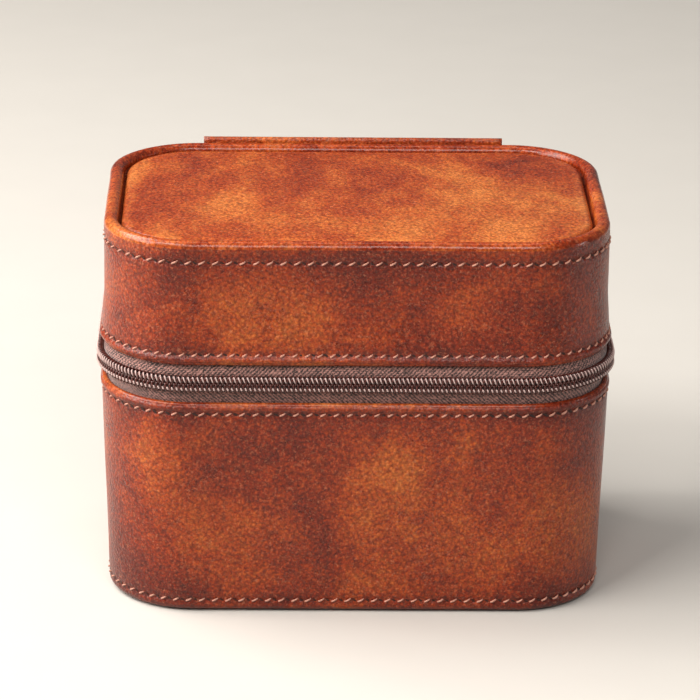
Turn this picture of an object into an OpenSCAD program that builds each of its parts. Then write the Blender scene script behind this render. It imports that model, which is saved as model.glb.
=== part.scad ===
// Watch travel case: a leather-covered box on board, a lid hinged on a leather strap at the back,
// a coil zip round the other three sides, and two watch pillows inside.
// Millimetres, +Z up, front towards -Y. The origin is the middle of the base, on the table.
// A wall section is drawn in two directions: outward from the case's nominal wall, and up.

/* [Case] */
// Width of the case across its front, without the zip
case_w = 130; // [122:1:150]
// Depth of the case from front to back, without the zip
case_d = 86; // [82:1:100]
// Height from the table to the top of the rim
case_h = 101.5; // [98:0.5:115]
// Radius of the four upright corners
corner_r = 23; // [21:0.5:26]

/* [Leather, board and lining] */
// Thickness of the outer leather
leather_t = 1.2; // [1.1:0.1:1.4]
// Thickness of the base panel
base_t = 1.6; // [1.4:0.1:2.2]
// How far the base panel stands below the turned-in wall leather
base_step = 0.4; // [0.3:0.1:0.6]
// Width of the wall leather's turn-in under the case
turn_in = 3.8; // [3:0.2:6]
// Thickness of the board in the body's floor
floor_board_t = 2.4; // [1.6:0.2:3.2]
// Thickness of the board in the lid
lid_board_t = 2; // [1.6:0.1:2.4]
// Thickness of the board in the collar
collar_board_t = 1.5; // [1.2:0.1:1.8]
// Thickness of the microfibre lining
lining_t = 0.6; // [0.4:0.1:0.7]
// How far the leather swells out beside the zip
edge_flare = 0.9; // [0.6:0.1:1.2]
// How far the wall leans in at the table
foot_lean = 0.6; // [0:0.1:1]
// Rounding of the case's lower edge
foot_r = 1.8; // [1:0.1:2.4]
// Height over which the lid's leather swells towards the zip
flare_h = 13; // [8:1:16]

/* [Zip opening] */
// Height of the body's upper leather edge
body_h = 58.6; // [54:0.2:60]
// Width of the opening that the zip closes
zip_gap = 10.2; // [10.2:0.2:12]
// Height of the zip's centre line above the middle of the opening
zip_rise = 0.3; // [0:0.1:0.8]
// How far the collar stands up past the opening, into the lid
collar_rise = 4.2; // [3:0.2:5]
// Clearance between the collar and the lid's lining
collar_gap = 0.8; // [0.8:0.1:1.1]

/* [Rim and top panel] */
// Width of the rolled rim round the top
rim_w = 3.7; // [3.4:0.1:4.2]
// Height of the rolled rim above the lid's board
rim_h = 4.4; // [4.2:0.1:5]
// Width of the groove between rim and panel
groove_w = 0.5; // [0.4:0.1:0.8]
// Height of the panel's edge above the leather that it is glued to
panel_h = 2.2; // [2:0.1:2.4]
// How far the padded panel rises towards its middle
panel_crown = 0.8; // [0.4:0.1:1]
// Rounding of the panel's edge
panel_edge_r = 1.6; // [1.2:0.1:1.8]
// Thickness of the panel's leather
panel_leather_t = 0.9; // [0.7:0.1:1]
// Thickness of the stiffener under the panel
stiffener_t = 1; // [0.8:0.1:1.1]

/* [Zip] */
// Distance from one coil turn to the next
coil_pitch = 1.16; // [1.06:0.02:1.3]
// Height of one row of coil turns
coil_row_h = 2.1; // [1.8:0.1:2.2]
// How far the coil turns stand out from the tape
coil_out = 2; // [1.7:0.1:2.1]
// Thickness of the tape
tape_t = 0.5; // [0.4:0.05:0.55]
// How far the tape's sewn edge reaches under the leather
tape_hem = 7; // [5:0.5:9]
// Angle round the back corner at which the closed zip ends
zip_end_angle = 51; // [48:1:53]
// Length of each zip stop round the corner, in degrees
stop_sweep = 3; // [2:0.5:4]

/* [Slider and pull] */
// Length of the slider
slider_l = 8.6; // [8.2:0.2:9]
// Width of the slider at its nose
slider_w = 7.4; // [7:0.1:7.6]
// Width of the slider at its tail
slider_tail_w = 6.3; // [6:0.1:6.6]
// Thickness of each slider plate
slider_plate_t = 0.9; // [0.8:0.1:1.1]
// Clearance between the zip and the slider's plates
slider_clear = 0.25; // [0.2:0.05:0.35]
// Length of the bridge that the link hangs from
bridge_l = 6; // [5.4:0.2:6.6]
// Thickness of the bridge
bridge_t = 0.9; // [0.8:0.05:1]
// Thickness of the link's wire
link_wire = 1; // [0.9:0.05:1.1]
// Distance between the two ends of the link, middle to middle
link_l = 5.2; // [5:0.2:7]
// Running clearance of the link on the bridge
link_clear = 0.1; // [0.08:0.02:0.16]
// Length of the pull tab below the link
tab_l = 21; // [16:1:26]
// Width of the pull tab
tab_w = 7; // [6:0.5:8]
// Thickness of the pull tab
tab_t = 1.1; // [0.9:0.05:1.2]

/* [Hinge strap] */
// Distance from the strap's side edge to where the corner starts to turn
strap_margin = 1.5; // [1:0.5:6]
// Thickness of the strap
strap_t = 1.3; // [1:0.1:1.6]
// How far the strap stands up past the rim
strap_rise = 1.1; // [0.6:0.1:1.6]
// Length of the strap that is sewn to the body
strap_drop = 31; // [24:1:40]
// Rounding of the strap's lower corners
strap_r = 5; // [3:0.5:8]

/* [Inside] */
// Height of the divider above the floor
divider_h = 52; // [40:1:54]
// Thickness of the board in the divider
divider_board_t = 1.6; // [1.2:0.1:2]
// Thickness of each floor pad
floor_pad_h = 2.6; // [2:0.2:3.4]
// Distance from the compartment's walls to the edge of its floor pad
floor_pad_inset = 1.2; // [0.8:0.1:2]
// Thickness of the pad in the lid
lid_pad_h = 3.2; // [2.6:0.2:4]
// Distance from the lid's lining to the edge of the pad
lid_pad_inset = 6; // [4:0.5:9]
// Clearance between a pillow's padded end and its compartment
pillow_gap = 0.85; // [0.6:0.05:3]
// Depth of a watch pillow
pillow_d = 56; // [48:1:57]
// Height of a watch pillow
pillow_h = 65; // [58:1:67]
// Thickness of the pillow's wrap
wrap_t = 1; // [0.8:0.1:1.4]
// How far the pillow's end panels swell out
end_swell = 1.8; // [1:0.2:2]

/* [Hidden] */

$fn = 64;

// Overshoot of a cut, and the hair of space left under a soft piece that rests on another
over = 1;
seat = 0.04;
soft_gap = 0.3;

// Heights
lid_z = body_h + zip_gap;
hinge_z = body_h + zip_gap / 2;
zip_z = hinge_z + zip_rise;
floor_z = base_t + floor_board_t;
lid_board_z = case_h - rim_h;
ceiling_z = lid_board_z - lid_board_t;
collar_z = lid_z + collar_rise;
panel_z = lid_board_z + leather_t;

// Distances inward from the nominal wall
lid_inner = leather_t + lid_board_t + lining_t;
collar_out = lid_inner + collar_gap;
collar_in = collar_out + 2 * lining_t + collar_board_t;
base_inset = leather_t + turn_in + 0.3;
corner_x = case_w / 2 - corner_r;
corner_y = case_d / 2 - corner_r;

// Leather edges beside the zip, with the boards set back from them
edge_in = tape_t - leather_t;
edge_r = (edge_flare - edge_in) / 2;
edge_x = (edge_flare + edge_in) / 2;
board_back = 0.6;

// Zip: each tape bulges out to its coil, whose turns stand on its face
tape_x = -0.3;
tape_bend = 0.2;
tape_flat = 2.6;
tape_edge = 0.9;
tape_tuck = 2;
coil_x = tape_x + tape_t + 0.05;
coil_core_x = coil_x + 0.8;
coil_face_x = tape_x + tape_t + coil_out;
coil_gap = 0.05;
turn_foot = 0.74 * coil_pitch;
turn_crest = 0.42 * coil_pitch;

// The zip's end lengths start a little in front of the back corners
end_run = 6;
split_y = corner_y - end_run;

// Length along the zip, counted from the back end of the left back corner
zip_r = corner_r + coil_core_x;
corner_len = zip_r * PI / 2;
leg_1 = corner_len;
leg_2 = leg_1 + 2 * corner_y;
leg_3 = leg_2 + corner_len;
leg_4 = leg_3 + 2 * corner_x;
leg_5 = leg_4 + corner_len;
leg_6 = leg_5 + 2 * corner_y;
leg_7 = leg_6 + corner_len;
stop_angle = zip_end_angle + 12.5;
stop_gap = 0.95;
zip_start = corner_len * (90 - stop_angle + stop_sweep / 2) / 90 + stop_gap;
zip_split = leg_6 - end_run;
zip_end = leg_7 - corner_len * (90 - zip_end_angle) / 90;

// Strap and hinge
strap_half = corner_x - strap_margin;
strap_foot = body_h - strap_drop;
hinge_y = case_d / 2 + edge_flare + strap_t / 2;
tape_end_x = strap_half - tape_tuck;

// Slider, in its own frame: x out from the wall, y along the zip towards its closed end, z up
slider_angle = zip_end_angle - 1;
slider_sag = slider_l * slider_l / (8 * corner_r);
plate_in = tape_x - slider_sag - slider_clear - 0.2;
plate_out = coil_face_x + slider_clear;
plate_top = plate_out + slider_plate_t;
flange_x = tape_x + tape_t + slider_clear + 0.2;
flange_z = coil_gap + coil_row_h + 0.45;
link_r = bridge_t / sqrt(2) + link_clear + link_wire / 2;
bar_x = plate_top + slider_clear + link_r + link_wire / 2;
bridge_chamfer = 1.1;
tab_hole_r = link_wire / 2 + 0.5;
tab_eye_r = tab_hole_r + 1;
tab_neck_w = 3;
tab_r = 2.5;

// Pillows and what they stand on
divider_t = divider_board_t + 2 * lining_t;
room_x = case_w / 2 - collar_in;
room_y = case_d / 2 - collar_in;
pillow_w = room_x - divider_t / 2 - 2 * (pillow_gap + end_swell);
floor_pad_z = floor_z + lining_t + seat;
pillow_z = floor_pad_z + floor_pad_h + soft_gap;
pillow_x = (room_x + divider_t / 2) / 2;
end_panel_t = 1.2;

// Colours
tan_leather = [0.56, 0.27, 0.13];
dark_leather = [0.45, 0.2, 0.1];
lining_tan = [0.76, 0.66, 0.53];
board_grey = [0.55, 0.5, 0.44];
tape_brown = [0.4, 0.3, 0.26];
coil_brown = [0.3, 0.17, 0.12];
bronze = [0.5, 0.4, 0.28];
foam_cream = [0.88, 0.84, 0.72];

function arc(x, z, r, from, to, steps = 6) =
    [for (k = [0:steps]) let (a = from + (to - from) * k / steps) [x + r * cos(a), z + r * sin(a)]];

// Plan of the case, drawn in from the nominal wall
module plan(inset) {
    r = corner_r - inset;
    square([case_w - 2 * inset, 2 * corner_y], center = true);
    square([2 * corner_x, case_d - 2 * inset], center = true);
    for (x = [-corner_x, corner_x], y = [-corner_y, corner_y])
        translate([x, y])
            circle(r);
}

module slab(inset, low, high) {
    translate([0, 0, low])
        linear_extrude(high - low)
            plan(inset);
}

// Corner 0 is the right back one, and they go round through left back, left front and right front
module corner_sweep(i, from = 0, to = 90) {
    translate([i == 0 || i == 3 ? corner_x : -corner_x, i < 2 ? corner_y : -corner_y, 0])
        rotate([0, 0, 90 * i + from])
            rotate_extrude(angle = to - from)
                translate([corner_r, 0])
                    children();
}

// Wall 0 is the right one, and they go round through back, left and front
module wall_run(i, from, to) {
    rotate([0, 0, 90 * i])
        translate([i % 2 == 0 ? case_w / 2 : case_d / 2, to, 0])
            rotate([90, 0, 0])
                linear_extrude(to - from)
                    children();
}

module wall_sweep() {
    for (i = [0:3]) {
        reach = i % 2 == 0 ? corner_y : corner_x;
        corner_sweep(i)
            children();
        wall_run(i, -reach, reach)
            children();
    }
}

// Closed skin over rings of equally many points, which run anticlockwise seen from the last ring
module skin(rings, loop = false) {
    n = len(rings[0]);
    m = len(rings);
    last = m * n - n;
    sides = [
        for (i = [0:loop ? m - 1 : m - 2], k = [0:n - 1])
            let (a = i * n + k, b = i * n + (k + 1) % n, up = (i + 1) % m * n)
                each [[a, up + k, up + (k + 1) % n], [a, up + (k + 1) % n, b]]
    ];
    caps = loop ? [] : [for (k = [1:n - 2]) each [[0, k, k + 1], [last, last + k + 1, last + k]]];
    polyhedron(points = [for (ring = rings) each ring], faces = concat(sides, caps));
}

// Rounded outline from [x0, x1, y0, y1], with one corner radius on each side, as a ring at height z
function outline(box, radii, inset, share, z, steps = 7) =
    let (
        x0 = box[0] + inset,
        x1 = box[1] - inset,
        y0 = box[2] + inset,
        y1 = box[3] - inset,
        r0 = radii[0] - inset,
        r1 = radii[1] - inset,
        middle = [(x0 + x1) / 2, (y0 + y1) / 2],
        ring = concat(
            arc(x1 - r1, y1 - r1, r1, 0, 90, steps),
            arc(x0 + r0, y1 - r0, r0, 90, 180, steps),
            arc(x0 + r0, y0 + r0, r0, 180, 270, steps),
            arc(x1 - r1, y0 + r1, r1, 270, 360, steps)
        )
    )
    [for (p = ring) [middle[0] + (p[0] - middle[0]) * share, middle[1] + (p[1] - middle[1]) * share, z]];

// Upper side of a pad: an upright edge, a rounded shoulder and a crown towards the middle
function pad_rings(box, radii, z, h, r, crown) = concat(
    [outline(box, radii, 0, 1, z)],
    [for (a = [0:30:90]) outline(box, radii, r * (1 - cos(a)), 1, z + h - r * (1 - sin(a)))],
    [for (share = [0.84, 0.62, 0.38, 0.14]) outline(box, radii, r, share, z + h + crown * (1 - pow(share, 2.2)))]
);

function reversed(list) = [for (i = [len(list) - 1:-1:0]) list[i]];

// Place on the zip's path at a length along it, a distance out from the nominal wall
function corner_at(x, y, a, out) = [x + (corner_r + out) * cos(a), y + (corner_r + out) * sin(a)];

function zip_at(s, out) =
    s < leg_1 ? corner_at(-corner_x, corner_y, 90 + 90 * s / corner_len, out) :
    s < leg_2 ? [-case_w / 2 - out, corner_y - (s - leg_1)] :
    s < leg_3 ? corner_at(-corner_x, -corner_y, 180 + 90 * (s - leg_2) / corner_len, out) :
    s < leg_4 ? [-corner_x + s - leg_3, -case_d / 2 - out] :
    s < leg_5 ? corner_at(corner_x, -corner_y, 270 + 90 * (s - leg_4) / corner_len, out) :
    s < leg_6 ? [case_w / 2 + out, -corner_y + s - leg_5] :
    corner_at(corner_x, corner_y, 90 * (s - leg_6) / corner_len, out);

// One row of coil turns: a cord along the tape, with a crest for each turn
function coil_outline(from, to, shift) =
    let (turns = floor((to - from) / coil_pitch - shift))
    concat(
        [zip_at(from, coil_core_x)],
        [
            for (k = [0:turns - 1], p = [[-turn_foot, 0], [-turn_crest, 1], [turn_crest, 1], [turn_foot, 0]])
                zip_at(
                    from + (k + 0.5 + shift) * coil_pitch + p[0] / 2,
                    p[1] == 0 ? coil_core_x : coil_face_x
                )
        ],
        [for (s = [to:-2 * coil_pitch:from + coil_pitch]) zip_at(s, coil_x)],
        [zip_at(from, coil_x)]
    );

module coil_row(from, to, upper) {
    translate([0, 0, upper ? zip_z + coil_gap : zip_z - coil_gap - coil_row_h])
        linear_extrude(coil_row_h)
            polygon(coil_outline(from, to, upper ? 0 : 0.5));
}

// Tape from its hem under the leather to its edge behind the coil; way is up for the lower tape
module tape_section(edge, way) {
    face = [
        [edge_in, edge - way * tape_hem],
        [edge_in, edge - way * tape_bend],
        [tape_x + tape_t, zip_z - way * tape_flat],
        [tape_x + tape_t, zip_z - way * tape_edge]
    ];
    polygon(concat(face, reversed([for (p = face) p - [tape_t, 0]])));
}

// Sweeps a section along the zip's way in front of the two splits, and on from each split to the strap
module tape_middle() {
    wall_run(2, -split_y, corner_y)
        children();
    corner_sweep(2)
        children();
    wall_run(3, -corner_x, corner_x)
        children();
    corner_sweep(3)
        children();
    wall_run(0, -corner_y, split_y)
        children();
}

module tape_left_end() {
    wall_run(1, tape_end_x, corner_x)
        children();
    corner_sweep(1)
        children();
    wall_run(2, -corner_y, -split_y)
        children();
}

module tape_right_end() {
    wall_run(0, split_y, corner_y)
        children();
    corner_sweep(0)
        children();
    wall_run(1, -corner_x, -tape_end_x)
        children();
}

// The same way in one length, for the tape that stays whole
module tape_whole() {
    for (i = [0:3])
        corner_sweep(i)
            children();
    for (i = [0, 2])
        wall_run(i, -corner_y, corner_y)
            children();
    wall_run(3, -corner_x, corner_x)
        children();
    wall_run(1, tape_end_x, corner_x)
        children();
    wall_run(1, -corner_x, -tape_end_x)
        children();
}

// Clip folded over a tape's edge; way is up for a clip on the upper tape
module stop_section(way) {
    outer = tape_x + tape_t + 0.8;
    inner = tape_x - 0.45;
    polygon([
        [inner, zip_z + way * 0.3], [outer, zip_z + way * 0.3], [outer, zip_z + way * 2.2],
        [tape_x + tape_t, zip_z + way * 2.2], [tape_x + tape_t, zip_z + way * tape_edge],
        [tape_x, zip_z + way * tape_edge], [tape_x, zip_z + way * 2.2], [inner, zip_z + way * 2.2]
    ]);
}

// How far the body's leather stands out from the nominal wall at a height
function wall_out(z) =
    let (low = base_step + foot_r, high = body_h - edge_r)
    -foot_lean + (edge_flare + foot_lean) * (z - low) / (high - low);

module base_panel() {
    color(dark_leather)
        slab(base_inset, 0, base_t);
}

module body_board() {
    color(board_grey)
        difference() {
            slab(leather_t, base_t, body_h - board_back);
            slab(collar_out, floor_z, body_h + over);
        }
}

// Wall leather: turned in under the case, leaning out to a rolled edge over the zip's tape
module body_leather() {
    color(tan_leather)
        wall_sweep()
            polygon(concat(
                [[-leather_t - turn_in, base_t], [-leather_t - turn_in, base_step]],
                arc(-foot_lean - foot_r, base_step + foot_r, foot_r, -90, 0),
                arc(edge_x, body_h - edge_r, edge_r, 0, 180),
                [[edge_in, body_h - tape_hem], [-leather_t, body_h - tape_hem], [-leather_t, base_t]]
            ));
}

// Lining over the floor and round both faces and the top of the collar
module body_lining() {
    color(lining_tan)
        difference() {
            slab(collar_out, floor_z, collar_z);
            slab(collar_in, floor_z + lining_t, collar_z + over);
            difference() {
                slab(collar_out + lining_t, floor_z - over, collar_z - lining_t);
                slab(collar_in - lining_t, floor_z - 2 * over, collar_z);
            }
        }
}

module collar_board() {
    color(board_grey)
        difference() {
            slab(collar_out + lining_t, floor_z, collar_z - lining_t);
            slab(collar_in - lining_t, floor_z - over, collar_z);
        }
}

module divider_board() {
    color(board_grey)
        translate([-divider_board_t / 2, -room_y, floor_z + lining_t])
            cube([divider_board_t, 2 * room_y, divider_h - 2 * lining_t]);
}

module divider_cover() {
    color(lining_tan)
        translate([0, room_y, floor_z + lining_t])
            rotate([90, 0, 0])
                linear_extrude(2 * room_y)
                    difference() {
                        union() {
                            translate([-divider_t / 2, 0])
                                square([divider_t, divider_h - lining_t - divider_t / 2]);
                            translate([0, divider_h - lining_t - divider_t / 2])
                                circle(divider_t / 2);
                        }
                        translate([-divider_board_t / 2, -over])
                            square([divider_board_t, divider_h - 2 * lining_t + over]);
                    }
}

module floor_pad(side) {
    inner = divider_t / 2 + floor_pad_inset;
    outer = room_x - floor_pad_inset;
    y = room_y - floor_pad_inset;
    r = corner_r - collar_in - floor_pad_inset;
    box = side > 0 ? [inner, outer, -y, y] : [-outer, -inner, -y, y];
    radii = side > 0 ? [2, r] : [r, 2];
    skin(pad_rings(box, radii, floor_pad_z, floor_pad_h - 0.4, 1, 0.4));
}

module floor_pad_left() {
    color(lining_tan)
        floor_pad(-1);
}

module floor_pad_right() {
    color(lining_tan)
        floor_pad(1);
}

module zip_tape_lower() {
    color(tape_brown)
        tape_whole()
            tape_section(body_h, 1);
}

module zip_coil_lower() {
    color(coil_brown)
        coil_row(zip_start, zip_split, false);
}

module zip_coil_lower_end() {
    color(coil_brown)
        coil_row(zip_split, zip_end, false);
}

module zip_stop_lower() {
    color(bronze)
        corner_sweep(0, stop_angle - stop_sweep / 2, stop_angle + stop_sweep / 2)
            stop_section(-1);
}

// Clip that holds both tapes together where the opened zip would end
module zip_bottom_stop() {
    color(bronze)
        corner_sweep(1, 90 - stop_angle - stop_sweep / 2, 90 - stop_angle + stop_sweep / 2) {
            stop_section(-1);
            stop_section(1);
            translate([tape_x - 0.45, zip_z - 0.3])
                square([tape_t + 1.25, 0.6]);
        }
}

// Strap section along the leather's outer face, thickened outward
module strap_section(face) {
    polygon(concat(face, reversed([for (p = face) p + [strap_t, 0]])));
}

module hinge_strap_body_flap() {
    color(tan_leather)
        intersection() {
            wall_run(1, -strap_half, strap_half)
                strap_section([
                    [wall_out(strap_foot), strap_foot],
                    [edge_flare, body_h - edge_r],
                    [edge_flare, body_h]
                ]);
            translate([0, case_d / 2 - over, 0])
                rotate([-90, 0, 0])
                    linear_extrude(strap_t + edge_flare + 2 * over) {
                        for (x = [strap_r - strap_half, strap_half - strap_r])
                            translate([x, -strap_foot - strap_r])
                                circle(strap_r);
                        translate([strap_r - strap_half, -body_h - over])
                            square([2 * (strap_half - strap_r), strap_drop + over]);
                        translate([-strap_half - over, -body_h - over])
                            square([2 * (strap_half + over), strap_drop - strap_r + over]);
                    }
        }
}

// The part of the strap that bends when the lid opens
module hinge_strap_fold() {
    color(dark_leather)
        wall_run(1, -strap_half, strap_half)
            strap_section([[edge_flare, body_h], [edge_flare, lid_z]]);
}

module hinge_strap_lid_flap() {
    color(tan_leather)
        wall_run(1, -strap_half, strap_half)
            strap_section([
                [edge_flare, lid_z],
                [edge_flare, lid_z + edge_r],
                [0, lid_z + flare_h],
                [0, case_h + strap_rise]
            ]);
}

module lid_board() {
    color(board_grey)
        difference() {
            slab(leather_t, lid_z + board_back, lid_board_z);
            slab(leather_t + lid_board_t, lid_z - over, ceiling_z);
        }
}

// Wall leather rolled over the rim and turned in under the top panel
module lid_leather() {
    roll = rim_w / 2;
    roll_z = case_h - roll;
    color(tan_leather)
        wall_sweep()
            polygon(concat(
                arc(edge_x, lid_z + edge_r, edge_r, 180, 360),
                [[0, lid_z + flare_h]],
                arc(-roll, roll_z, roll, 0, 180, 10),
                [[-rim_w, panel_z], [-rim_w - turn_in, panel_z], [-rim_w - turn_in, lid_board_z]],
                [[leather_t - rim_w, lid_board_z]],
                arc(-roll, roll_z, roll - leather_t, 180, 0),
                [[-leather_t, lid_z + tape_hem], [edge_in, lid_z + tape_hem]]
            ));
}

module lid_lining() {
    color(lining_tan)
        difference() {
            slab(leather_t + lid_board_t, lid_z + board_back, ceiling_z);
            slab(lid_inner, lid_z - over, ceiling_z - lining_t);
        }
}

module lid_pad() {
    x = case_w / 2 - lid_inner - lid_pad_inset;
    y = case_d / 2 - lid_inner - lid_pad_inset;
    r = corner_r - lid_inner - lid_pad_inset;
    color(lining_tan)
        mirror([0, 0, 1])
            skin(pad_rings([-x, x, -y, y], [r, r], lining_t + seat - ceiling_z, lid_pad_h, 2, 0.8));
}

// Stiff cord that fills the rolled rim
module rim_filler() {
    roll = rim_w / 2;
    r = roll - leather_t;
    color(foam_cream)
        wall_sweep()
            polygon(concat(
                [[-roll - r, lid_board_z], [-roll + r, lid_board_z]],
                arc(-roll, case_h - roll, r, 0, 180)
            ));
}

module panel_stiffener() {
    color(board_grey)
        slab(rim_w + turn_in + 0.3, lid_board_z, lid_board_z + stiffener_t);
}

// Space of the top panel, drawn in by its own leather where wanted
function panel_rings(inset) =
    let (
        x = case_w / 2 - rim_w - groove_w - inset,
        y = case_d / 2 - rim_w - groove_w - inset,
        r = corner_r - rim_w - groove_w - inset
    )
    pad_rings([-x, x, -y, y], [r, r], panel_z + seat, panel_h - inset, panel_edge_r - inset, panel_crown);

module panel_foam() {
    color(foam_cream)
        skin(panel_rings(panel_leather_t));
}

module panel_leather() {
    color(tan_leather)
        skin(concat(reversed(panel_rings(panel_leather_t)), panel_rings(0)));
}

module zip_tape_upper() {
    color(tape_brown)
        tape_middle()
            tape_section(lid_z, -1);
}

module zip_tape_upper_end_left() {
    color(tape_brown)
        tape_left_end()
            tape_section(lid_z, -1);
}

module zip_tape_upper_end_right() {
    color(tape_brown)
        tape_right_end()
            tape_section(lid_z, -1);
}

module zip_coil_upper() {
    color(coil_brown)
        coil_row(zip_start, zip_split, true);
}

module zip_coil_upper_end() {
    color(coil_brown)
        coil_row(zip_split, zip_end, true);
}

module zip_stop_upper() {
    color(bronze)
        corner_sweep(0, stop_angle - stop_sweep / 2, stop_angle + stop_sweep / 2)
            stop_section(1);
}

// The slider's own frame, on the zip's path round the right back corner
module at_slider() {
    translate([corner_x, corner_y, zip_z])
        rotate([0, 0, slider_angle])
            translate([corner_r, 0, 0])
                children();
}

// Extrudes a shape drawn along the zip and up, outward from low to high
module outward(low, high) {
    translate([low, 0, 0])
        rotate([90, 0, 90])
            linear_extrude(high - low)
                children();
}

module slider_outline() {
    half = [
        [-slider_l / 2, slider_tail_w / 2 - 0.7], [0.7 - slider_l / 2, slider_tail_w / 2],
        [0, slider_tail_w / 2], [slider_l / 2 - 2.6, slider_w / 2],
        [slider_l / 2 - 1, slider_w / 2], [slider_l / 2, slider_w / 2 - 1]
    ];
    polygon(concat(half, reversed([for (p = half) [p[0], -p[1]]])));
}

// Two plates joined by a wedge at the nose, with flanges that keep the coils together
module zip_slider() {
    nose = slider_l / 2;
    color(bronze)
        at_slider() {
            outward(plate_in - slider_plate_t, plate_in)
                slider_outline();
            outward(plate_out, plate_top)
                slider_outline();
            outward(plate_in, plate_out)
                polygon([
                    [nose - 2.9, 0], [nose - 2, 0.75], [nose - 0.7, 0.85],
                    [nose - 0.7, -0.85], [nose - 2, -0.75]
                ]);
            outward(flange_x, plate_out)
                difference() {
                    slider_outline();
                    square([slider_l + over, 2 * flange_z], center = true);
                }
        }
}

// Arch over the outer plate, which the link hangs from
module slider_bridge() {
    y = bridge_l / 2;
    outer = bar_x + bridge_t / 2;
    inner = bar_x - bridge_t / 2;
    color(bronze)
        at_slider()
            translate([0, 0, -bridge_t / 2])
                linear_extrude(bridge_t)
                    polygon([
                        [plate_top, -y], [outer - bridge_chamfer, -y], [outer, bridge_chamfer - y],
                        [outer, y - bridge_chamfer], [outer - bridge_chamfer, y], [plate_top, y],
                        [plate_top, y - bridge_t], [inner, y - bridge_t],
                        [inner, bridge_t - y], [plate_top, bridge_t - y]
                    ]);
}

// Wire loop through the bridge, hanging down beside the wall
module pull_link() {
    color(bronze)
        at_slider()
            translate([bar_x, 0, 0])
                rotate([90, 0, 0]) {
                    rotate_extrude(angle = 180)
                        translate([link_r, 0])
                            circle(link_wire / 2);
                    translate([0, -link_l, 0])
                        rotate([0, 0, 180])
                            rotate_extrude(angle = 180)
                                translate([link_r, 0])
                                    circle(link_wire / 2);
                    for (x = [-link_r, link_r])
                        translate([x, -link_l, 0])
                            rotate([-90, 0, 0])
                                cylinder(h = link_l, r = link_wire / 2);
                }
}

// Flat tab with an eye round the link's lower end
module pull_tab() {
    eye_z = -link_l - link_r;
    top_z = eye_z - tab_eye_r - 1;
    foot_z = eye_z - tab_l;
    color(bronze)
        at_slider()
            outward(bar_x - tab_t / 2, bar_x + tab_t / 2)
                difference() {
                    union() {
                        translate([0, eye_z])
                            circle(tab_eye_r);
                        translate([-tab_neck_w / 2, top_z - 1])
                            square([tab_neck_w, eye_z - top_z + 1]);
                        translate([-tab_w / 2, foot_z + tab_r])
                            square([tab_w, top_z - foot_z - tab_r]);
                        translate([tab_r - tab_w / 2, foot_z])
                            square([tab_w - 2 * tab_r, tab_r + over]);
                        for (y = [tab_r - tab_w / 2, tab_w / 2 - tab_r])
                            translate([y, foot_z + tab_r])
                                circle(tab_r);
                    }
                    translate([0, eye_z])
                        circle(tab_hole_r);
                }
}

// Ring round a pillow at x: a rounded oval, drawn in towards the pillow's ends
function pillow_ring(x, inset, share = 1, n = 36) =
    let (
        draw = 1 - 0.05 * pow(abs(2 * x / pillow_w), 3),
        y = (pillow_d / 2 * draw - inset) * share,
        z = (pillow_h / 2 * draw - inset) * share,
        power = 0.64
    )
    [
        for (k = [0:n - 1])
            let (c = cos(360 * k / n), s = sin(360 * k / n))
                [x, y * sign(c) * pow(abs(c), power), z * sign(s) * pow(abs(s), power)]
    ];

wrap_stations = [-0.5, -0.44, -0.32, -0.16, 0, 0.16, 0.32, 0.44, 0.5];

module at_pillow(side) {
    translate([side * pillow_x, 0, pillow_z + pillow_h / 2])
        children();
}

module pillow_wrap(side) {
    outside = [for (t = wrap_stations) pillow_ring(t * pillow_w, 0)];
    inside = [for (t = wrap_stations) pillow_ring(t * pillow_w, wrap_t)];
    at_pillow(side)
        skin(concat(outside, reversed(inside)), loop = true);
}

module pillow_core(side) {
    reach = pillow_w / 2 - end_panel_t - seat;
    at_pillow(side)
        skin([for (t = [-1, -0.6, 0, 0.6, 1]) pillow_ring(t * reach, wrap_t + seat)]);
}

// Padded end panels, sewn into the wrap and swelling out of it
module pillow_ends(side) {
    x = pillow_w / 2;
    at_pillow(side)
        for (turn = [0, 180])
            rotate([0, 0, turn])
                skin([
                    for (p = [[-end_panel_t, 1], [0, 1], [0.5, 0.9], [0.8, 0.7], [0.95, 0.45], [1, 0.15]])
                        [
                            for (q = pillow_ring(x, wrap_t + seat, p[1]))
                                [x + (p[0] < 0 ? p[0] : p[0] * end_swell), q[1], q[2]]
                        ]
                ]);
}

module pillow_left_core() {
    color(foam_cream)
        pillow_core(-1);
}

module pillow_left_wrap() {
    color(lining_tan)
        pillow_wrap(-1);
}

module pillow_left_ends() {
    color(lining_tan)
        pillow_ends(-1);
}

module pillow_right_core() {
    color(foam_cream)
        pillow_core(1);
}

module pillow_right_wrap() {
    color(lining_tan)
        pillow_wrap(1);
}

module pillow_right_ends() {
    color(lining_tan)
        pillow_ends(1);
}

base_panel();
body_board();
body_leather();
body_lining();
collar_board();
divider_board();
divider_cover();
floor_pad_left();
floor_pad_right();
zip_tape_lower();
zip_coil_lower();
zip_coil_lower_end();
zip_stop_lower();
zip_bottom_stop();
hinge_strap_body_flap();
hinge_strap_fold();
hinge_strap_lid_flap();
lid_board();
lid_leather();
lid_lining();
lid_pad();
rim_filler();
panel_stiffener();
panel_foam();
panel_leather();
zip_tape_upper();
zip_tape_upper_end_left();
zip_tape_upper_end_right();
zip_coil_upper();
zip_coil_upper_end();
zip_stop_upper();
zip_slider();
slider_bridge();
pull_link();
pull_tab();
pillow_left_core();
pillow_left_wrap();
pillow_left_ends();
pillow_right_core();
pillow_right_wrap();
pillow_right_ends();
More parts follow.
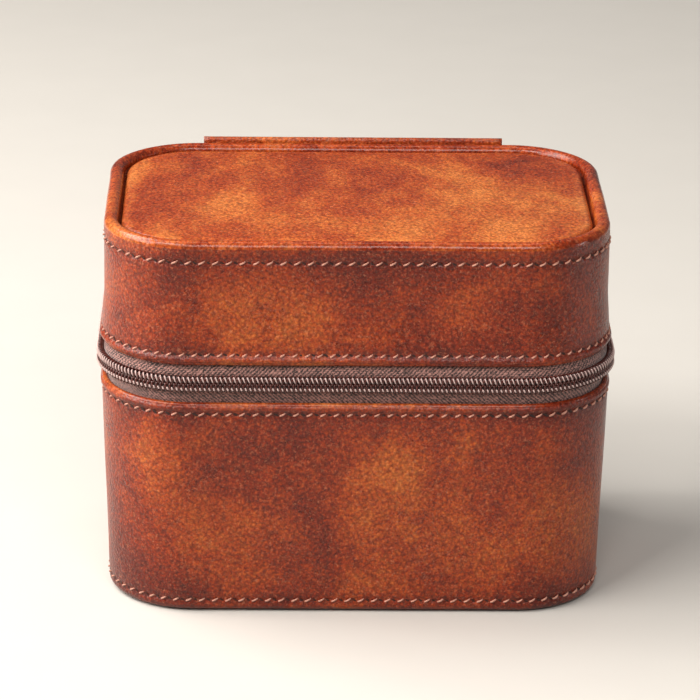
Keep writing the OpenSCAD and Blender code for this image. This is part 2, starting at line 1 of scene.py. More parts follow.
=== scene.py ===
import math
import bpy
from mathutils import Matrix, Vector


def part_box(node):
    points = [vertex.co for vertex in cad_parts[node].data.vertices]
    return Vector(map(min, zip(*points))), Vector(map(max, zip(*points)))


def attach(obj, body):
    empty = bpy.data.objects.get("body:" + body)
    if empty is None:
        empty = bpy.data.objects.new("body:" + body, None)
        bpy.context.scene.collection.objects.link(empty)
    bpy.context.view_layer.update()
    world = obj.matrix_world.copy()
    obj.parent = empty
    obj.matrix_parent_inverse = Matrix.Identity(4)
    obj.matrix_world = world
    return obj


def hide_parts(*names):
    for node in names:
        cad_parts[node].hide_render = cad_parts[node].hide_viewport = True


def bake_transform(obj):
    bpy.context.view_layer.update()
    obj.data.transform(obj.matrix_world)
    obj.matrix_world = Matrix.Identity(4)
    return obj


bl_info = {
    "name": "Watch travel case",
    "version": (1, 0, 0),
    "blender": (4, 5, 0),
    "location": "3D View > Sidebar > Watch case",
    "description": "Dresses a watch travel case in leather, stitching, a coil zip, linings and pillows",
    "category": "Object",
}

import bpy
import numpy as np
from bpy.props import FloatProperty, FloatVectorProperty, PointerProperty
from mathutils import Matrix, Vector

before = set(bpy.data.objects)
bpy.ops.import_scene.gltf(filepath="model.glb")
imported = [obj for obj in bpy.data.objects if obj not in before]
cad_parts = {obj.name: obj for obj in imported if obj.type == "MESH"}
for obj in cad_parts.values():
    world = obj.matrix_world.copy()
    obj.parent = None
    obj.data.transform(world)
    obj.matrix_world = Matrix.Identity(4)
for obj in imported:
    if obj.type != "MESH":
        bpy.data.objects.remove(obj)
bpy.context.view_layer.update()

MM = 0.001
TAU = 2 * math.pi


def length(label, words, default):
    return FloatProperty(name=label, description=words, default=default, unit="LENGTH", precision=5)


def colour(label, words, default):
    return FloatVectorProperty(
        name=label, description=words, default=default, size=3, min=0, max=1, subtype="COLOR"
    )


def share(label, words, default):
    return FloatProperty(name=label, description=words, default=default, min=0, max=1, subtype="FACTOR")


def angle(label, words, degrees):
    return FloatProperty(name=label, description=words, default=math.radians(degrees), subtype="ANGLE")


# Sizes and finishes


class CaseSizes(bpy.types.PropertyGroup):
    flare: length("Flare", "How far the leather swells out beside the zip", 0.9 * MM)
    corner: length("Corner radius", "Radius of the upright corners at the nominal wall", 23 * MM)
    leather: length("Leather", "Thickness of the wall leather", 1.15 * MM)
    foot_lean: length("Foot lean", "How far the wall leans in at the table", 0.6 * MM)
    foot_round: length("Foot rounding", "Rounding of the lower edge", 1.8 * MM)
    lip: length("Edge roll", "Radius of the rolled leather edge beside the zip", 0.8 * MM)
    rim: length("Rim", "Width of the rolled rim", 3.7 * MM)
    lid_flare: length("Lid flare", "Height over which the lid swells towards the zip", 13 * MM)
    groove: length("Panel groove", "Gap between the rim and the top panel", 0.5 * MM)


class StitchSizes(bpy.types.PropertyGroup):
    pitch: length("Stitch pitch", "Distance from one stitch to the next", 3.45 * MM)
    lid_pitch: length("Lid edge pitch", "Stitch distance in the row above the zip", 3.2 * MM)
    thread: length("Thread", "Radius of the thread", 0.29 * MM)
    slant: length("Slant", "Rise of a stitch along its length", 0.92 * MM)
    sink: length("Sink", "How far a stitch row draws the leather in", 0.42 * MM)
    top_row: length("Top row", "Height of the stitch row under the rim", 96.1 * MM)
    lid_row: length("Lid row", "Height of the stitch row above the zip", 71.6 * MM)
    body_row: length("Body row", "Height of the stitch row below the zip", 55.6 * MM)
    foot_row: length("Foot row", "Height of the stitch row above the table", 3.5 * MM)
    colour: colour("Thread colour", "Colour of the thread", (0.60, 0.27, 0.185))
    # Colours of the dark discs that paint the shade inside the stitch holes
    hole: colour("Hole", "Depth of a stitch hole", (0.012, 0.004, 0.003))
    hole_edge_shade: colour("Hole edge", "Edge of a stitch hole", (0.045, 0.014, 0.009))


class LeatherLook(bpy.types.PropertyGroup):
    deep: colour("Deep", "Darkest patches", (0.130, 0.011, 0.0035))
    brown: colour("Brown", "Darker body colour", (0.255, 0.026, 0.0050))
    cognac: colour("Cognac", "Main body colour", (0.390, 0.057, 0.0095))
    tan: colour("Tan", "Lighter patches", (0.50, 0.108, 0.019))
    light: colour("Light", "Lightest patches", (0.64, 0.188, 0.039))
    # fleck is the colour of painted highlights on the grain's high points
    painted_glint: colour("Fleck", "Painted highlights on the grain's high points", (0.62, 0.22, 0.11))
    grain: share("Grain", "Depth of the pebble grain", 0.45)
    rough: share("Roughness", "Roughness of the leather", 0.30)


class ZipLook(bpy.types.PropertyGroup):
    pitch: length("Coil pitch", "Distance from one coil turn to the next", 1.16 * MM)
    wire: length("Coil filament", "Radius of the coil's filament", 0.3 * MM)
    tape_dark: colour("Tape", "Dark threads of the tape", (0.028, 0.011, 0.009))
    tape_light: colour("Tape light", "Light threads of the tape", (0.46, 0.22, 0.18))
    coil: colour("Coil", "Colour of the coil", (0.050, 0.012, 0.009))
    thread: colour("Sewing thread", "Thread that holds the coil to the tape", (0.66, 0.46, 0.42))
    metal: colour("Metal", "Antique brass of the slider and stops", (0.50, 0.31, 0.15))


class InsideLook(bpy.types.PropertyGroup):
    suede: colour("Microfibre", "Colour of the lining", (0.52, 0.38, 0.25))
    suede_dark: colour("Microfibre shade", "Darker strokes in the lining", (0.36, 0.25, 0.155))
    board: colour("Board", "Bare board under the covers", (0.40, 0.33, 0.25))
    foam: colour("Foam", "Foam under the covers", (0.78, 0.72, 0.56))
    puff: length("Puff", "The most that a pillow's cover may swell", 0.9 * MM)


class StageLook(bpy.types.PropertyGroup):
    floor: colour("Floor", "Colour of the plain floor", (0.60, 0.575, 0.535))
    lens: FloatProperty(name="Lens", description="Focal length, 36 mm frame", default=200.3, unit="CAMERA")
    distance: length("Distance", "Camera distance from the middle of the case", 1035.7 * MM)
    middle: length("Middle", "Height of the point that the camera turns round", 51 * MM)
    left: length("Left", "How far the camera stands left of the line to that point", 0.958 * MM)
    above: length("Above", "How far the camera stands above the line to that point", 5.81 * MM)
    pitch: angle("Pitch", "How far the camera looks down", 20.25)
    roll: angle("Roll", "Tilt of the picture", 0.75)
    yaw: angle("Yaw", "Turn of the case in the picture", 1.23)


class CaseLook(bpy.types.PropertyGroup):
    case: PointerProperty(type=CaseSizes)
    stitch: PointerProperty(type=StitchSizes)
    leather: PointerProperty(type=LeatherLook)
    zip: PointerProperty(type=ZipLook)
    inside: PointerProperty(type=InsideLook)
    stage: PointerProperty(type=StageLook)


def look():
    return bpy.context.scene.watch_case


# Meshes


def mesh_object(name, verts, faces, finish, uvs=None, marks=None):
    mesh = bpy.data.meshes.new(name)
    if isinstance(faces, np.ndarray):
        faces = faces.tolist()
    mesh.from_pydata(np.asarray(verts, float).tolist(), [], faces)
    mesh.shade_smooth()
    if uvs is not None:
        layer = mesh.uv_layers.new(name="UVMap")
        ids = np.zeros(len(mesh.loops), int)
        mesh.loops.foreach_get("vertex_index", ids)
        layer.data.foreach_set("uv", np.asarray(uvs, float)[ids].ravel())
    if marks is not None:
        layer = mesh.attributes.new("mark", "FLOAT", "POINT")
        layer.data.foreach_set("value", np.asarray(marks, float).ravel())
    mesh.materials.append(finish)
    obj = bpy.data.objects.new(name, mesh)
    bpy.context.scene.collection.objects.link(obj)
    return obj


def grid_faces(rows, cols, wrap_rows=False, wrap_cols=False):
    i = np.arange(rows if wrap_rows else rows - 1)[:, None]
    j = np.arange(cols if wrap_cols else cols - 1)[None, :]
    a = i * cols + j
    b = i * cols + (j + 1) % cols
    c = (i + 1) % rows * cols + (j + 1) % cols
    d = (i + 1) % rows * cols + j
    return np.stack([a, d, c, b], -1).reshape(-1, 4)


def copies(rows, cols, blocks, closed=False):
    """Faces of many equal tubes, one block of rows x cols points each. A closed tube is a ring."""
    one = grid_faces(rows, cols, closed, True)
    return (one[None] + (np.arange(blocks) * rows * cols)[:, None, None]).reshape(-1, 4)


def with_ends(faces, rows, cols):
    """Faces of one tube of rows x cols points, with its two ends closed."""
    first = list(range(cols))
    last = [(rows - 1) * cols + k for k in range(cols)]
    return faces.tolist() + [first, last[::-1]]


def flipped(faces):
    return [face[::-1] for face in faces]


def tube_points(spine, across, up, radius, sides, flat=1.0):
    """Rings of points round a spine, in the plane of across and up. flat narrows them along across."""
    b = np.arange(sides)[:, None] / sides * TAU
    ring = across[..., None, :] * np.cos(b) * flat + up[..., None, :] * np.sin(b)
    return spine[..., None, :] + ring * np.asarray(radius)[..., None, None]


class Plan:
    """The case's rounded plan, walked from the middle of the back by the left, the front and the right."""

    def __init__(self):
        low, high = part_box("lid_leather")
        flare = look().case.flare
        self.half_x = high[0] - flare
        self.half_y = high[1] - flare
        self.r = look().case.corner
        self.x = self.half_x - self.r
        self.y = self.half_y - self.r

    def legs(self, at):
        arc = (self.r + at) * math.pi / 2
        return np.cumsum([0, self.x, arc, 2 * self.y, arc, 2 * self.x, arc, 2 * self.y, arc, self.x])

    def walk(self, s, at=0.0):
        """Points of the nominal wall and outward normals, s measured on the line that lies at outside it."""
        s = np.asarray(s, float)
        legs = self.legs(at)
        s = np.mod(s, legs[-1])
        leg = np.clip(np.searchsorted(legs, s, side="right") - 1, 0, 8)
        t = s - legs[leg]
        turn = np.array([90, 90, 180, 180, 270, 270, 360, 360, 450])[leg].astype(float)
        bend = np.isin(leg, (1, 3, 5, 7))
        angle = np.radians(turn + np.where(bend, np.degrees(t / (self.r + at)), 0))
        n = np.stack([np.cos(angle), np.sin(angle)], -1)
        cx = np.array([0, -1, -1, -1, -1, 1, 1, 1, 1])[leg] * self.x
        cy = np.array([1, 1, 1, -1, -1, -1, -1, 1, 1])[leg] * self.y
        flat = np.where(bend, 0, t)
        tangent = np.stack([-n[:, 1], n[:, 0]], -1)
        p = np.stack([cx, cy], -1) + n * self.r + tangent * flat[:, None]
        return p, n

    def around(self, step, at=0.0):
        total = self.legs(at)[-1]
        count = int(round(total / step))
        return np.arange(count) * total / count


def place(p, n, out, z):
    xy = p + n * np.asarray(out)[..., None]
    return np.concatenate([xy, np.broadcast_to(np.asarray(z)[..., None], xy.shape[:-1] + (1,))], -1)


def arc(x, z, r, start, stop, steps):
    a = np.radians(np.linspace(start, stop, steps + 1))
    return np.stack([x + r * np.cos(a), z + r * np.sin(a)], -1)


def stitch_steps(pitch, total):
    count = int(round(total / pitch))
    return count, total / count


# Materials


class Graph:
    """A material's node graph, built a node at a time."""

    def __init__(self, name):
        self.material = bpy.data.materials.new(name)
        self.material.use_nodes = True
        self.tree = self.material.node_tree
        self.shader = self.tree.nodes["Principled BSDF"]

    def add(self, kind, values=None, **inputs):
        node = self.tree.nodes.new("ShaderNode" + kind)
        for key, value in (values or {}).items():
            setattr(node, key, value)
        for key, value in inputs.items():
            numbered = key[0] == "i" and key[1:].isdigit()
            self.set(node.inputs[int(key[1:]) if numbered else key.replace("_", " ")], value)
        return node

    def set(self, socket, value):
        if isinstance(value, bpy.types.NodeSocket):
            self.tree.links.new(value, socket)
        elif socket.type == "RGBA" and len(value) == 3:
            socket.default_value = (*value, 1)
        else:
            socket.default_value = value

    def finish(self, **inputs):
        for key, value in inputs.items():
            self.set(self.shader.inputs[key.replace("_", " ")], value)
        return self.material

    def object_place(self):
        return self.add("TexCoord").outputs["Object"]

    def noise(self, vector, scale, detail=3.0, rough=0.55, warp=0.0):
        values = {"Vector": vector, "Scale": scale, "Detail": detail, "Roughness": rough, "Distortion": warp}
        return self.add("TexNoise", **values).outputs["Fac"]

    def math(self, how, a, b=0.0, c=0.0):
        return self.add("Math", {"operation": how}, i0=a, i1=b, i2=c).outputs[0]

    def mix(self, factor, a, b, how="MIX"):
        node = self.add("Mix", {"data_type": "RGBA", "blend_type": how})
        self.set(node.inputs[0], factor)
        self.set(node.inputs[6], a)
        self.set(node.inputs[7], b)
        return node.outputs[2]

    def ramp(self, factor, stops):
        node = self.add("ValToRGB", Fac=factor)
        elements = node.color_ramp.elements
        while len(elements) < len(stops):
            elements.new(0.5)
        for element, (at, shade) in zip(elements, stops):
            element.position = at
            element.color = (*shade, 1)
        return node.outputs["Color"]

    def worn(self, factor, low, high, shade, part):
        """The colour from high on, and only a part of it below low."""
        return self.ramp(factor, [(low, tuple(c * part for c in shade)), (high, shade)])

    def span(self, value, low, high, to_low, to_high):
        return self.add("MapRange", i0=value, i1=low, i2=high, i3=to_low, i4=to_high).outputs[0]

    def bump(self, height, strength, distance, normal=None):
        node = self.add("Bump", Strength=strength, Distance=distance, Height=height)
        if normal is not None:
            self.set(node.inputs["Normal"], normal)
        return node.outputs["Normal"]


# Noise scales of the leather's layers, from patches to grain, and how far each moves the tone
BLOTCH, MOTTLE, SPECK, GRAIN, PEBBLE = 24, 78, 560, 1250, 1150
MOTTLE_SHARE, SPECK_SHARE, GRAIN_SHARE = 0.55, 0.42, 0.8
LEATHER_TONES = (0.20, 0.38, 0.52, 0.66, 0.84)


def leather(name, warm, marked=True, stretch=(1, 1, 1), patchy=1.1):
    """Mottled, waxed leather, from brown at a warm of 0 to tan at 1.

    A piece's mark darkens the leather where it is above 0: a darker band at each stitch row, and painted
    shade in the groove round the top panel. Where it is below 0 it polishes the leather and lightens it, a
    painted highlight on the rolled edges, the rim, the panel's shoulder and the strap's edges.
    """
    skin = look().leather
    g = Graph(name)
    at = g.object_place()
    drawn = g.add("Mapping", Vector=at, Scale=stretch).outputs["Vector"]
    blotch = g.noise(drawn, BLOTCH, 4, 0.55, 0.7)
    mottle = g.noise(drawn, MOTTLE, 5, 0.62, 0.35)
    speck = g.noise(at, SPECK, 4, 0.75, 0.4)
    grain = g.noise(at, GRAIN, 3, 0.75, 0.6)
    cells = g.add("TexVoronoi", Vector=at, Scale=PEBBLE).outputs["Distance"]
    tone = g.math("MULTIPLY_ADD", blotch, patchy, warm - patchy / 2)
    for layer, part in ((mottle, MOTTLE_SHARE), (speck, SPECK_SHARE), (grain, GRAIN_SHARE)):
        tone = g.math("MULTIPLY_ADD", layer, part, tone)
    tone = g.math("ADD", tone, -(MOTTLE_SHARE + SPECK_SHARE + GRAIN_SHARE) / 2)
    polish = 0.0
    if marked:
        mark = g.add("Attribute", {"attribute_name": "mark"}).outputs["Fac"]
        patch = g.span(mottle, 0.35, 0.6, 0.35, 1.0)
        # Marks above 0 darken the tone (darker stitch rows, painted shade in the panel's groove); marks below
        # 0 lighten it as a painted highlight
        tone = g.math("MULTIPLY_ADD", g.math("MULTIPLY", mark, patch), -0.2, tone)
        polish = g.span(mark, -0.6, 0.0, 1.0, 0.0)
    shades = (skin.deep, skin.brown, skin.cognac, skin.tan, skin.light)
    shade = g.ramp(tone, list(zip(LEATHER_TONES, shades)))
    # Painted shade: darker between the pebbles and in the pores. Painted highlights: light specks at random
    # high points of the grain.
    painted_dip_shade = g.span(cells, 0.30, 0.75, 1.08, 0.62)
    pores = g.span(g.noise(at, 1500, 2, 0.6, 0.8), 0.40, 0.50, 0.74, 1.0)
    painted_pit_shade = g.math("MULTIPLY", painted_dip_shade, pores)
    apart = g.add("Mapping", Vector=at, Location=(3, 1, 2)).outputs["Vector"]
    painted_glints = g.span(g.noise(apart, 1350, 2, 0.6, 1.0), 0.56, 0.70, 0.0, 0.34)
    painted_pit_colour = g.add("CombineColor", Red=painted_pit_shade, Green=painted_pit_shade, Blue=painted_pit_shade).outputs["Color"]
    shade = g.mix(1.0, shade, painted_pit_colour, "MULTIPLY")
    shade = g.mix(painted_glints, shade, skin.painted_glint)
    creases = g.noise(at, 420, 4, 0.6, 1.2)
    calm = g.span(polish, 0.0, 1.0, 1.0, 0.16)
    normal = g.bump(g.noise(at, 60, 2, 0.5), 0.35, 1.0 * MM)
    normal = g.bump(creases, g.math("MULTIPLY", calm, 0.30), 0.22 * MM, normal)
    pebbles = g.math("MULTIPLY_ADD", grain, -0.8, cells)
    normal = g.bump(pebbles, g.math("MULTIPLY", calm, skin.grain), -0.4 * MM, normal)
    rough = g.math("MULTIPLY_ADD", speck, 0.5, mottle)
    rough = g.span(rough, 0.55, 0.95, skin.rough - 0.06, skin.rough + 0.10)
    rough = g.math("MULTIPLY_ADD", polish, -0.11, rough)
    return g.finish(Base_Color=shade, Roughness=rough, Normal=normal, IOR=1.45, Specular_IOR_Level=0.45)


def thread_material(name):
    g = Graph(name)
    fibre = g.noise(g.object_place(), 2600, 2, 0.6, 1.0)
    shade = g.worn(fibre, 0.3, 0.62, look().stitch.colour, 0.55)
    return g.finish(Base_Color=shade, Roughness=0.55, Normal=g.bump(fibre, 0.5, 0.1 * MM), Sheen_Weight=0.2)


# Painted shade inside a stitch hole
def hole_shade_material(name):
    stitch = look().stitch
    g = Graph(name)
    pit = g.noise(g.object_place(), 3000, 1, 0.5)
    return g.finish(Base_Color=g.ramp(pit, [(0.3, stitch.hole), (0.7, stitch.hole_edge_shade)]), Roughness=0.85)


def tape_material(name):
    z = look().zip
    g = Graph(name)
    uv = g.add("TexCoord").outputs["UV"]

    def bands(direction, scale, warp, detail, fine):
        values = {"Vector": uv, "Scale": scale, "Distortion": warp, "Detail": detail, "Detail Scale": fine}
        return g.add("TexWave", {"wave_type": "BANDS", "bands_direction": direction}, **values).outputs["Fac"]

    rib = bands("DIAGONAL", 560, 2.6, 3, 2)
    cross = bands("Y", 620, 0.8, 1, 1)
    weave = g.math("MULTIPLY", rib, g.span(cross, 0, 1, 0.35, 1.0))
    fuzz = g.noise(g.object_place(), 1500, 4, 0.8, 0.8)
    tone = g.math("MULTIPLY_ADD", fuzz, 2.3, g.math("MULTIPLY_ADD", weave, 0.5, -0.88))
    shade = g.ramp(tone, [(0.28, z.tape_dark), (0.68, z.tape_light)])
    normal = g.bump(weave, 0.7, 0.18 * MM)
    normal = g.bump(fuzz, 0.3, 0.08 * MM, normal)
    return g.finish(Base_Color=shade, Roughness=0.72, Normal=normal, Sheen_Weight=0.35, Sheen_Roughness=0.5)


def coil_material(name):
    z = look().zip
    g = Graph(name)
    wear = g.noise(g.object_place(), 500, 3, 0.6)
    shade = g.ramp(wear, [(0.35, z.coil), (0.7, tuple(min(1, c * 2.2) for c in z.coil))])
    return g.finish(Base_Color=shade, Roughness=0.22, Normal=g.bump(wear, 0.1, 0.05 * MM), IOR=1.5)


def sewing_material(name):
    g = Graph(name)
    fibre = g.noise(g.object_place(), 3200, 2, 0.6)
    shade = g.worn(fibre, 0.3, 0.65, look().zip.thread, 0.7)
    return g.finish(Base_Color=shade, Roughness=0.42, Sheen_Weight=0.2)


def metal_material(name):
    g = Graph(name)
    at = g.object_place()
    patina = g.noise(at, 420, 4, 0.6, 0.5)
    shade = g.worn(patina, 0.3, 0.6, look().zip.metal, 0.35)
    rough = g.span(patina, 0.3, 0.7, 0.45, 0.24)
    normal = g.bump(g.noise(at, 1500, 2), 0.08, 0.05 * MM)
    return g.finish(Base_Color=shade, Metallic=1.0, Roughness=rough, Normal=normal)


def suede_material(name):
    inside = look().inside
    g = Graph(name)
    at = g.object_place()
    stroke = g.noise(at, 60, 3, 0.55, 0.8)
    nap = g.noise(at, 2600, 3, 0.7)
    tone = g.math("MULTIPLY_ADD", nap, 0.4, g.math("MULTIPLY", stroke, 0.7))
    shade = g.ramp(tone, [(0.38, inside.suede_dark), (0.68, inside.suede)])
    normal = g.bump(nap, 0.35, 0.1 * MM)
    return g.finish(Base_Color=shade, Roughness=0.92, Normal=normal, Sheen_Weight=0.5, Sheen_Roughness=0.4)


def board_material(name):
    g = Graph(name)
    fibre = g.noise(g.object_place(), 900, 4, 0.7, 1.5)
    shade = g.worn(fibre, 0.3, 0.7, look().inside.board, 0.75)
    return g.finish(Base_Color=shade, Roughness=0.9, Normal=g.bump(fibre, 0.25, 0.1 * MM))


def foam_material(name):
    g = Graph(name)
    pores = g.add("TexVoronoi", Vector=g.object_place(), Scale=1400.0).outputs["Distance"]
    shade = g.worn(pores, 0.1, 0.5, look().inside.foam, 0.8)
    return g.finish(Base_Color=shade, Roughness=0.95, Normal=g.bump(pores, 0.4, 0.15 * MM))


def material(name, make, *args):
    return bpy.data.materials.get(name) or make(name, *args)


def dress(nodes, finish):
    for name in nodes:
        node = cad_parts[name]
        node.data.materials.clear()
        node.data.materials.append(finish)


# Leather walls


def dents(z, s, total, rows):
    """How far the stitch rows draw the leather in, at heights z and lengths s."""
    stitch = look().stitch
    out = np.zeros(np.broadcast(z, s).shape)
    for height, pitch, width in rows:
        _, step = stitch_steps(pitch, total)
        pull = 0.45 + 0.55 * np.cos(math.pi * s / step) ** 4
        out -= stitch.sink * pull * np.exp(-(((z - height) / width) ** 2))
    return out


def wander(s, z, total, seed):
    """Slow unevenness of hand-laid leather."""
    rng = np.random.default_rng(seed)
    out = 0.0
    for _ in range(6):
        turns, size = rng.integers(3, 17), rng.uniform(0.3, 1)
        phase, lean = rng.uniform(0, TAU), rng.uniform(-160, 160)
        out = out + size * np.sin(TAU * turns * s / total + phase + z * lean)
    return out * 0.045 * MM


def body_out(z):
    case = look().case
    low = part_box("body_leather")[0][2] + case.foot_round
    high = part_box("body_leather")[1][2] - case.lip
    return -case.foot_lean + (case.flare + case.foot_lean) * (z - low) / (high - low)


def lid_out(z):
    case = look().case
    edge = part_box("lid_leather")[0][2]
    return case.flare * np.clip((edge + case.lid_flare - z) / (case.lid_flare - case.lip), 0, 1)


def swell(z, middle, width, height):
    return height * np.exp(-(((z - middle) / width) ** 2))


def sweep_section(name, section, rows, seed, finish, marks, soft):
    """Sweeps a closed section round the case. soft is each point's share of the dents and unevenness."""
    plan = Plan()
    s = plan.around(0.56 * MM)
    total = plan.legs(0)[-1]
    p, n = plan.walk(s)
    out = section[:, 0][None, :] + np.zeros((len(s), 1))
    z = section[:, 1][None, :] + np.zeros((len(s), 1))
    out = out + soft * (dents(z, s[:, None], total, rows) + wander(s[:, None], z, total, seed))
    verts = place(p[:, None, :], n[:, None, :], out, z)
    faces = grid_faces(len(s), section.shape[0], True, True)
    mark = np.broadcast_to(marks, out.shape)
    return mesh_object(name, verts.reshape(-1, 3), faces, finish, marks=mark)


def spread(low, high, rows, fine=0.35 * MM, coarse=1.6 * MM):
    """Heights from low to high, close together round the stitch rows."""
    out = [low]
    while out[-1] < high - 1e-6:
        near = min([abs(out[-1] - r) for r in rows] + [abs(out[-1] - low), abs(out[-1] - high)])
        ease = min(1, max(0, near - 1.6 * MM) / (5 * MM))
        out.append(min(high, out[-1] + fine + (coarse - fine) * ease))
    return np.array(out)


def row_marks(height, rows):
    """Marks that darken the leather at stitch rows, each given as its height, its fade and its strength."""
    return np.max([strength * np.exp(-np.abs(height - at) / fade) for at, fade, strength in rows], axis=0)


# Depth of the hem behind the rolled edge beside the zip, at its lip and at the wall's inside
HEM_LIP, HEM_WALL = 7 * MM, 7.6 * MM


class WATCHCASE_OT_body_leather(bpy.types.Operator):
    """Wraps the body in leather, from its turn-in under the case to the rolled edge below the zip"""

    bl_idname = "watch_case.body_leather"
    bl_label = "Body leather"

    def execute(self, context):
        case, stitch = look().case, look().stitch
        low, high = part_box("body_leather")
        base, top = low[2], high[2]
        roll = top - case.lip
        inner = case.flare - 2 * case.lip
        foot = arc(-case.foot_lean - case.foot_round, base + case.foot_round, case.foot_round, -90, 0, 8)
        z = spread(base + case.foot_round, roll, [stitch.body_row, stitch.foot_row])[1:-1]
        face = body_out(z) + swell(z, (top + stitch.body_row) / 2 - 0.1 * MM, 0.9 * MM, 0.34 * MM)
        wall = np.stack([face, z], -1)
        edge = arc(case.flare - case.lip, roll, case.lip, 0, 180, 10)
        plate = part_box("base_panel")[1]
        turn_in = plate[0] - Plan().half_x + 0.3 * MM
        back = np.array([
            [inner, top - HEM_LIP], [-case.leather, top - HEM_WALL],
            [-case.leather, plate[2]], [turn_in, plate[2]], [turn_in, base],
        ])
        section = np.concatenate([foot, wall, edge, back])
        soft = np.r_[
            np.linspace(0, 1, len(foot)), np.ones(len(wall)),
            np.linspace(1, 0, len(edge)), np.zeros(len(back)),
        ]
        height = section[:, 1]
        outside = np.arange(len(section)) < len(section) - len(back)
        marks = row_marks(height, ((stitch.body_row, 2.2 * MM, 1), (stitch.foot_row, 4 * MM, 1)))
        # The rolled edge below the zip is marked below 0: polished, and lighter in colour as a painted
        # highlight
        marks = marks * soft - 0.7 * swell(height, top, 1.1 * MM, 1.3) * outside
        rows = [(stitch.body_row, stitch.pitch, 0.75 * MM), (stitch.foot_row, stitch.pitch, 0.7 * MM)]
        finish = material("case_leather", leather, 0.42)
        piece = sweep_section("body_leather_skin", section, rows, 3, finish, marks, soft)
        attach(piece, "case_body")
        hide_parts("body_leather")
        dress(["base_panel"], material("base_leather", leather, 0.18, False))
        return {"FINISHED"}


class WATCHCASE_OT_lid_leather(bpy.types.Operator):
    """Wraps the lid in leather, from the rolled edge above the zip over the rolled rim"""

    bl_idname = "watch_case.lid_leather"
    bl_label = "Lid leather"

    def execute(self, context):
        case, stitch = look().case, look().stitch
        low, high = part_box("lid_leather")
        base, top = low[2], high[2]
        roll = case.rim / 2
        lip_z = base + case.lip
        inner = case.flare - 2 * case.lip
        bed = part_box("lid_board")[1][2] + 0.03 * MM
        flange_end, flange_thick = -case.rim - 3.7 * MM, 1.15 * MM
        lip = arc(case.flare - case.lip, lip_z, case.lip, 180, 360, 10)
        z = spread(lip_z, top - roll, [stitch.lid_row, stitch.top_row])[1:-1]
        face = lid_out(z) + swell(z, (base + stitch.lid_row) / 2 + 0.25 * MM, 0.95 * MM, 0.46 * MM)
        wall = np.stack([face, z], -1)
        rim = arc(-roll, top - roll, roll, 0, 180, 18)
        flange = np.array([
            [-case.rim, bed + flange_thick], [flange_end, bed + flange_thick],
            [flange_end, bed], [case.leather - case.rim, bed],
        ])
        inside = arc(-roll, top - roll, roll - case.leather, 180, 0, 8)
        back = np.array([[-case.leather, base + HEM_WALL], [inner, base + HEM_LIP]])
        section = np.concatenate([lip, wall, rim, flange, inside, back])
        soft = np.r_[
            np.linspace(0, 1, len(lip)), np.ones(len(wall)), np.linspace(1, 0.4, len(rim)),
            np.zeros(len(flange) + len(inside) + len(back)),
        ]
        height = section[:, 1]
        marks = row_marks(height, ((stitch.lid_row, 2.2 * MM, 1), (stitch.top_row, 3.6 * MM, 1.25)))
        marks = marks * np.clip(soft * 1.2, 0, 1)
        below = len(lip) + len(wall)
        # The lip's lower rounding and, below, the rim are marked below 0: polished, and lighter in colour as
        # a painted highlight
        marks[:below] -= 0.6 * swell(height[:below], base + 0.5 * MM, 1.1 * MM, 1.0)
        # The rim's inner side, the flange under the panel and the hem inside are darker: painted shade in the
        # groove round the panel and inside the lid
        marks[below:] = 0.6
        marks[below:below + len(rim)] = -0.55
        rows = [(stitch.lid_row, stitch.lid_pitch, 0.7 * MM), (stitch.top_row, stitch.pitch, 0.75 * MM)]
        finish = material("case_leather", leather, 0.42)
        piece = sweep_section("lid_leather_skin", section, rows, 8, finish, marks, soft)
        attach(piece, "lid")
        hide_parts("lid_leather")
        return {"FINISHED"}


# Pads

PAD_POINTS = 220


def rounded_loop(box, radii, inset):
    """Even points of a rounded outline, inset from its box, with radii for its left and right corners."""
    x0, x1, y0, y1 = box
    left, right = radii
    corners = (
        (x1 - right, y1 - right, right, 0), (x0 + left, y1 - left, left, 90),
        (x0 + left, y0 + left, left, 180), (x1 - right, y0 + right, right, 270),
    )
    loop = np.concatenate([arc(x, y, max(r - inset, 0), start, start + 90, 22) for x, y, r, start in corners])
    loop = np.concatenate([loop, loop[:1]])
    run = np.r_[0, np.cumsum(np.linalg.norm(np.diff(loop, axis=0), axis=1))]
    want = np.linspace(0, run[-1], PAD_POINTS, endpoint=False)
    return np.stack([np.interp(want, run, loop[:, k]) for k in (0, 1)], -1)


